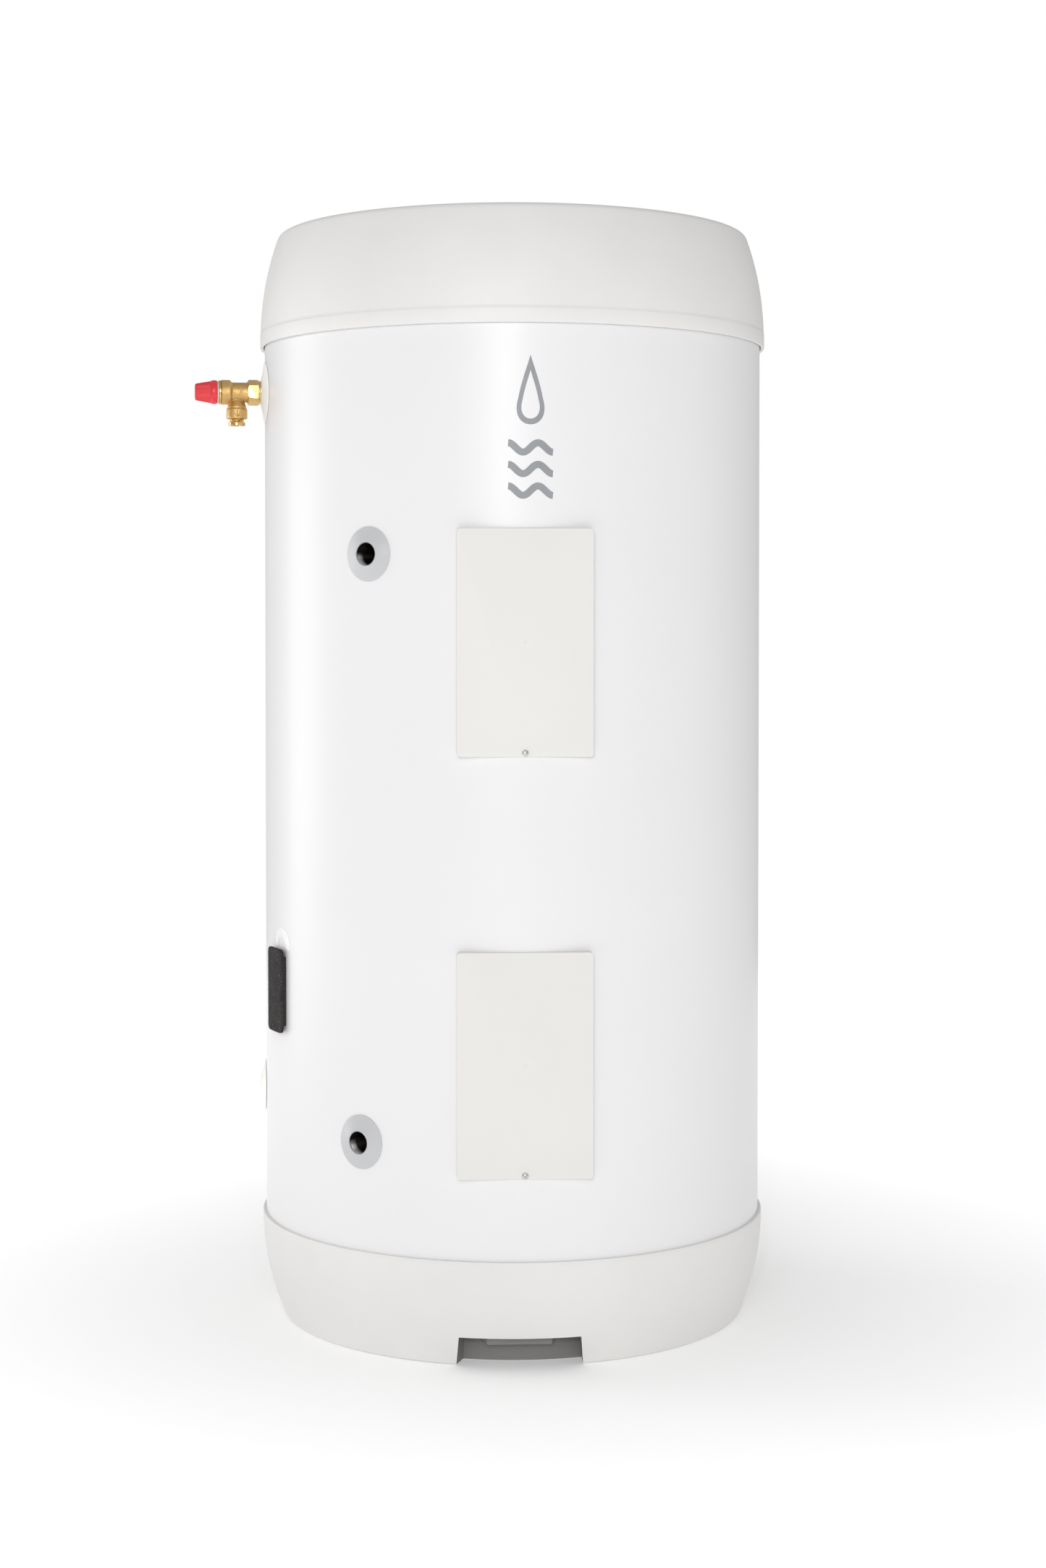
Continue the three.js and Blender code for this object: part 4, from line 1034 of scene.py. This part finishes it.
def relief():
    """The valve, from its inlet thread to its knob, with its outlet pointing down."""
    angle, z = PORTS["relief"]
    place = port_matrix(angle, z)
    branch_r = 323.0
    down = place @ Matrix.Translation((0, 0, branch_r)) @ Matrix.Rotation(math.radians(90), 4, "X")

    # The cast body: one skin over its joined forms, with the soft inside corners of a casting.
    trunk = [(0, 309), (12.6, 309), (11.9, 311), (11.55, 312.4), (11.55, 328.6), (12.3, 329.4)]
    trunk += [(13.8, 330.6), (14.25, 331.8), (14.25, 340.9), (0, 340.9)]
    body = lathe("valve_casting", trunk, 72, place)
    branch = [(0, 0), (5.5, 3), (7.2, 8), (9.2, 12.5), (10.8, 16.5), (11.0, 18.4), (11.7, 19.2)]
    branch += [(12.05, 20.4), (12.05, 30.0), (11.6, 30.6), (0, 30.6)]
    boolean(body, lathe("branch", branch, 72, down), "UNION")
    # A plain arrow and a plain ring, raised on the casting.
    marks = []
    face = 12.0
    arrow = [[(-3.6, 24.4), (0, 29.0), (3.6, 24.4)], [(0, 20.6), (0, 28.4)]]
    for line in arrow:
        dense = []
        for a, b in zip(line, line[1:]):
            dense += [(a[0] + (b[0] - a[0]) * t / 6, a[1] + (b[1] - a[1]) * t / 6) for t in range(6)]
        dense.append(line[-1])
        rings = []
        for i, (u, v) in enumerate(dense):
            a = Vector(dense[max(0, i - 1)])
            b = Vector(dense[min(len(dense) - 1, i + 1)])
            along = (b - a).normalized()
            across = Vector((-along.y, along.x)) * 0.62
            out = math.sqrt(max(1.0, face**2 - u**2))
            ring = []
            for w, lift in ((-1.3, -0.8), (-0.8, 0.3), (0, 0.6), (0.8, 0.3), (1.3, -0.8)):
                q = Vector((u, v)) + across * w
                ring.append((out + lift, -q.y, branch_r + q.x))
            rings.append(ring)
        marks.append(loft("mark", rings, place, cap=True))
    ring_mark = []
    for i in range(48):
        a = 2 * math.pi * i / 48
        ring = []
        for k in range(6):
            b = 2 * math.pi * k / 6
            r = RING_MARK_R + 0.6 * math.cos(b)
            y = r * math.sin(a)
            surface = math.sqrt(max(1.0, 11.5**2 - y * y))
            ring.append((surface + 0.1 + 0.6 * math.sin(b), y + 1.0, branch_r + r * math.cos(a)))
        ring_mark.append(ring)
    marks.append(loft("ring_mark", ring_mark, place, loop=True))
    remesh = body.modifiers.new("skin", "REMESH")
    remesh.mode = "VOXEL"
    remesh.voxel_size = 0.33 * MM
    settle = body.modifiers.new("settle", "SMOOTH")
    settle.factor = 0.5
    settle.iterations = 5
    bake(body, 80)
    for mark in marks:
        boolean(body, mark, "UNION", sharp=60)
    chest = [(0, 331.9), (10.9, 331.9), (10.9, 345), (0, 345)]
    boolean(body, lathe("chest_bore", chest, 48, place), sharp=40)
    mouth = [(0, 20), (8.4, 20), (8.4, 40), (0, 40)]
    boolean(body, lathe("outlet_bore", mouth, 48, down), sharp=40)
    passage = [(0, 5), (4.5, 5), (4.5, 25), (0, 25)]
    boolean(body, lathe("passage", passage, 32, down), sharp=40)
    finish_piece(body, "brass_cast", "brass", "heater", "relief_body")

    # The machined end: the hexagon, its washer face and the thread into the tank.
    hexagon = [(14.9 * math.cos(math.radians(90 + 60 * i)), 14.9 * math.sin(math.radians(90 + 60 * i)))
               for i in range(6)]
    nut = prism("valve_hexagon", hexagon, 297.5, 310.6, place)
    cone = [(0, 296.6), (13.35, 297.2), (14.9, 299.0), (14.95, 308.9), (12.0, 312.0), (0, 312.0)]
    boolean(nut, lathe("chamfer", cone, 96, place), "INTERSECT", sharp=25)
    bevel(nut, 0.25, 2, 25, 25)
    neck = [(0, 262)]
    turns = int((295.0 - 263) / 1.814)
    for i in range(turns):
        neck += [(10.9, 263 + 1.814 * i), (11.6, 263.9 + 1.814 * i)]
    neck += [(11.3, 295.6), (13.2, 296.2), (13.3, 296.6), (13.3, 297.9), (0, 297.9)]
    boolean(nut, lathe("neck", neck, 56, place), "UNION", sharp=25)
    boolean(nut, lathe("inlet", [(0, 255), (6.5, 255), (6.5, 330), (0, 330)], 40, place), sharp=25)
    finish_piece(nut, "brass_cut", "brass", "heater")

    plug = [(7.5, 334.2), (10.5, 334.2), (10.5, 341.0), (10.6, 341.25), (13.5, 341.3), (13.85, 341.6)]
    plug += [(13.9, 342.3), (13.75, 342.9), (13.9, 343.2), (13.8, 343.7), (13.4, 343.95), (2.6, 344.0)]
    plug += [(2.6, 340.5), (7.5, 340.5)]
    obj = lathe("valve_bonnet", plug, 72, place, sharp=30)
    finish_piece(obj, "brass_cut", "brass", "heater", "relief_bonnet")

    ring = [(10.2, 344.35), (12.7, 344.35), (12.95, 344.6), (12.95, 345.3), (12.7, 345.55), (10.2, 345.55)]
    obj = lathe("valve_ring", ring, 64, place)
    finish_piece(obj, "white", "white_plastic", "heater", "relief_ring")

    stem = [(0, 321.6), (7.2, 321.6), (7.4, 321.9), (7.4, 322.6), (7.1, 322.8), (2.0, 322.9)]
    stem += [(2.0, 361.6), (1.6, 362), (0, 362)]
    obj = lathe("valve_stem", stem, 40, place)
    finish_piece(obj, "brass_cut", "brass", "relief_lift", "relief_spindle")
    disc = [(0, 318.35), (6.9, 318.35), (7.3, 318.7), (7.3, 320.9), (6.9, 321.3), (0, 321.3)]
    obj = lathe("valve_disc", disc, 40, place)
    finish_piece(obj, "rubber", "black_rubber", "relief_lift", "relief_disc")

    # The knob: a smooth flange, then a fluted taper with a rounded end.
    flutes = 44
    segments = flutes * 6
    profile = [(12.6, 345.95, 0), (13.3, 346.0, 0), (13.65, 346.35, 0), (13.8, 347.0, 0), (13.8, 351.2, 0)]
    profile += [(13.7, 351.75, 0), (13.3, 352.1, 0), (12.95, 352.4, 0.0), (12.8, 352.9, 0.6)]
    for i in range(1, 13):
        t = i / 12
        profile.append((12.75 - 2.75 * t, 353.0 + 15.3 * t, 1.0))
    profile += [(9.85, 369.3, 0.9), (9.5, 370.2, 0.6), (8.9, 370.85, 0.3), (8.0, 371.15, 0), (6.5, 371.25, 0)]

    def flute(j):
        return FLUTE_DEPTH * (0.5 - 0.5 * math.cos(2 * math.pi * (j % 6) / 6)) ** 0.8

    rings = ribbed(profile, segments, flute)
    rings.append(circle(0.4, 371.25, segments))
    hollow = [(2.5, 362.8), (2.5, 351.0), (9.4, 350.9), (9.5, 346.1)]
    under = [circle(r, h, segments) for r, h in hollow]
    knob = loft("valve_knob", under + rings, place, cap=True, sharp=60)
    finish_piece(knob, "red", "knob_red", "relief_handle", "relief_knob")

    # The bush in the outlet, with four lugs.
    bush = [(5.9, 21), (7.9, 21), (7.9, 33.6), (8.2, 34.2), (9.3, 34.5), (9.5, 34.9)]
    bush += [(9.5, 38.0), (9.2, 38.4), (6.3, 38.4), (5.9, 38.1)]
    obj = lathe("outlet_bush", bush, 64, down, sharp=30)
    for i in (0, 1):
        spin = down @ Matrix.Rotation(math.radians(90 * i) + 0.5, 4, "Z")
        boolean(obj, block("slot", -1.5, 1.5, -20, 20, 36.0, 41, spin), sharp=30)
    for i in range(4):
        spin = down @ Matrix.Rotation(math.radians(90 * i) + 0.5 + math.pi / 4, 4, "Z")
        boolean(obj, block("window", 4, 12, -1.1, 1.1, 31.6, 33.6, spin), sharp=30)
    bevel(obj, 0.2, 2, 40, 35)
    finish_piece(obj, "brass_cut", "brass", "heater", "relief_outlet_sleeve")


# ---------- Behind the covers ----------


def refine(node, look, slot, body, width, name=None, segments=2):
    """A copy of a CAD node with its facets joined and its edges broken."""
    mesh = nodes[node].data.copy()
    obj = bpy.data.objects.new(name or f"{node}_fine", mesh)
    bpy.context.scene.collection.objects.link(obj)
    bm = bmesh.new()
    bm.from_mesh(mesh)
    bmesh.ops.remove_doubles(bm, verts=bm.verts, dist=2e-6)
    bmesh.ops.dissolve_limit(bm, angle_limit=math.radians(1), verts=bm.verts, edges=bm.edges)
    bm.to_mesh(mesh)
    bm.free()
    if "custom_normal" in mesh.attributes:
        mesh.attributes.remove(mesh.attributes["custom_normal"])
    bevel(obj, width, segments, 32, 32)
    return finish_piece(obj, look, slot, body, node)


def pocket(side):
    refine(f"{side}_pocket_liner", "liner", "phenolic", "heater", 0.5)
    refine(f"{side}_thermostat", "phenolic", "phenolic", "heater", 0.9, segments=3)
    refine(f"{side}_element_head", "brass_cut", "brass", "heater", 0.5)
    refine(f"{side}_element_boss", "stainless", "stainless", "heater", 0.4)
    refine(f"{side}_element_gasket", "rubber", "black_rubber", "heater", 0.3)
    refine(f"{side}_element_lead", "rubber", "black_rubber", "heater", 0.4)
    dial(side)
    button(side)


def dial(side):
    """A ribbed dial with a screwdriver slot and a pointer."""
    node = f"{side}_thermostat_dial"
    face, back = -low(node).y, -high(node).y
    place = port_matrix(0.0, middle(node).z)
    segments = 96
    profile = [(3.0, back, 0), (3.0, face - 4.2, 0), (10.6, face - 4.2, 0), (11.0, face - 3.9, 0.6)]
    profile += [(11.0, face - 1.2, 1), (10.8, face - 0.6, 0.8), (10.3, face - 0.15, 0.2)]
    profile += [(9.8, face, 0), (0.3, face, 0)]
    rings = ribbed(profile, segments, lambda j: 0.35 if j % 4 in (1, 2) else 0.0)
    obj = loft(f"{side}_dial", rings, place, cap=True, sharp=35)
    boolean(obj, block("slot", -6, 6, -1, 1, face - 1.5, face + 2, place), sharp=35)
    boolean(obj, block("pointer", -0.6, 0.6, 7, 10, face - 0.9, face + 2, place), sharp=35)
    finish_piece(obj, "white", "white_plastic", f"{side}_dial", node)


def button(side):
    node = f"{side}_reset_button"
    face, back = -low(node).y, -high(node).y
    place = port_matrix(0.0, middle(node).z)
    outline = [(0, back), (3.75, back), (3.6, face - 0.9), (3.4, face - 0.3), (2.9, face)]
    outline += [(1.8, face - 0.15), (0, face - 0.3)]
    obj = lathe(f"{side}_button", outline, 48, place, sharp=45)
    finish_piece(obj, "red", "knob_red", f"{side}_reset", node)


def carried():
    """CAD nodes that stay as they are, with their materials."""
    given = {
        "foam_yellow": ["insulation_base", "insulation_body", "insulation_top"],
        "stainless": ["tank_foot_ring", "tank_barrel", "tank_top_head", "tank_bottom_head", "heating_coil",
                      "cold_inlet_pipe", "hot_outlet_pipe"],
        "steel": ["relief_socket", "relief_spring"],
        "copper": ["upper_element_rod", "lower_element_rod", "sensor_pocket"],
        "white": ["upper_cable_duct", "lower_cable_duct"],
    }
    for look, names in given.items():
        for name in names:
            mesh = nodes[name].data
            mesh.materials.clear()
            mesh.materials.append(looks[look])


# ---------- Stage, light and camera ----------


def stage():
    s = Shader("floor_paper")
    grain = s.noise(180.0, 3.0)
    base = s.mix(s.spread(grain), (0.88, 0.88, 0.88), (0.9, 0.9, 0.9))
    material = s.set(Base_Color=base, Roughness=0.9, Specular_IOR_Level=0.1)
    # The floor glows white, less near the object: a painted soft shadow round the base, fading to white further
    # out.
    distance = s.node("ShaderNodeVectorMath", operation="LENGTH")
    s.tree.links.new(s.coords, distance.inputs[0])
    glow = s.ranged(distance.outputs["Value"], 0.3, 1.2, 0.2, 0.6)
    s.tree.links.new(glow, s.bsdf.inputs["Emission Strength"])
    s.bsdf.inputs["Emission Color"].default_value = (1, 1, 1, 1)
    rim = [2 * math.pi * i / 96 for i in range(96)]
    floor = piece("floor", [(3000 * math.cos(a), 3000 * math.sin(a), -0.4) for a in rim], [tuple(range(96))])
    floor.data.materials.append(material)


def area(name, location, target, size, power):
    light = bpy.data.lights.new(name, "AREA")
    light.shape = "RECTANGLE"
    light.size, light.size_y = size
    light.energy = power
    obj = bpy.data.objects.new(name, light)
    obj.location = location
    obj.rotation_euler = (Vector(target) - Vector(location)).to_track_quat("-Z", "Y").to_euler()
    bpy.context.scene.collection.objects.link(obj)


def lights():
    world = bpy.data.worlds.new("studio")
    bpy.context.scene.world = world
    world.use_nodes = True
    tree = world.node_tree
    background = tree.nodes["Background"]
    background.inputs["Color"].default_value = (1.0, 1.0, 1.0, 1.0)
    path = tree.nodes.new("ShaderNodeLightPath")
    strength = tree.nodes.new("ShaderNodeMapRange")
    strength.inputs["To Min"].default_value = 0.5
    strength.inputs["To Max"].default_value = 1.0
    tree.links.new(path.outputs["Is Camera Ray"], strength.inputs["Value"])
    tree.links.new(strength.outputs["Result"], background.inputs["Strength"])
    area("key", (-0.45, -3.6, 1.8), (0, 0, 0.7), (1.5, 1.5), 28.0)
    area("flash", (-0.35, -3.6, 1.35), (0, 0, 0.7), (0.12, 0.12), 13.0)
    area("fill_left", (-3.4, 1.2, 1.0), (0, 0, 0.6), (1.6, 2.2), 30.0)
    area("fill_right", (3.5, -0.3, 1.0), (0, 0, 0.6), (1.6, 2.2), 5.0)


def camera():
    turn = math.radians(2.78)
    tilt = 0.026
    reach = 3.0268
    data = bpy.data.cameras.new("camera")
    data.sensor_width = 36.0
    data.lens = 58.81
    data.shift_x = 0.0069
    data.shift_y = -0.0575
    data.clip_end = 100.0
    obj = bpy.data.objects.new("camera", data)
    obj.location = (-math.sin(turn) * reach, -math.cos(turn) * reach, 0.8013)
    obj.rotation_euler = (math.pi / 2 - tilt, 0, -turn)
    bpy.context.scene.collection.objects.link(obj)
    bpy.context.scene.camera = obj


camera()
lights()
stage()
bpy.context.scene.view_settings.view_transform = "Standard"
jacket()
lid()
base()
cable_outlet()
for side in ("upper", "lower"):
    cover(side)
    screw(side)
    pocket(side)
for name in ("coil_flow", "coil_return"):
    collar(name, "collar_grey", "collar_grey")
    socket(name)
for name in ("cold_inlet", "hot_outlet"):
    collar(name, "collar_white", "collar_white")
    socket(name)
collar("relief", "collar_white", "collar_white")
relief()
sensor()
half_ring_label()
pictogram()
carried()
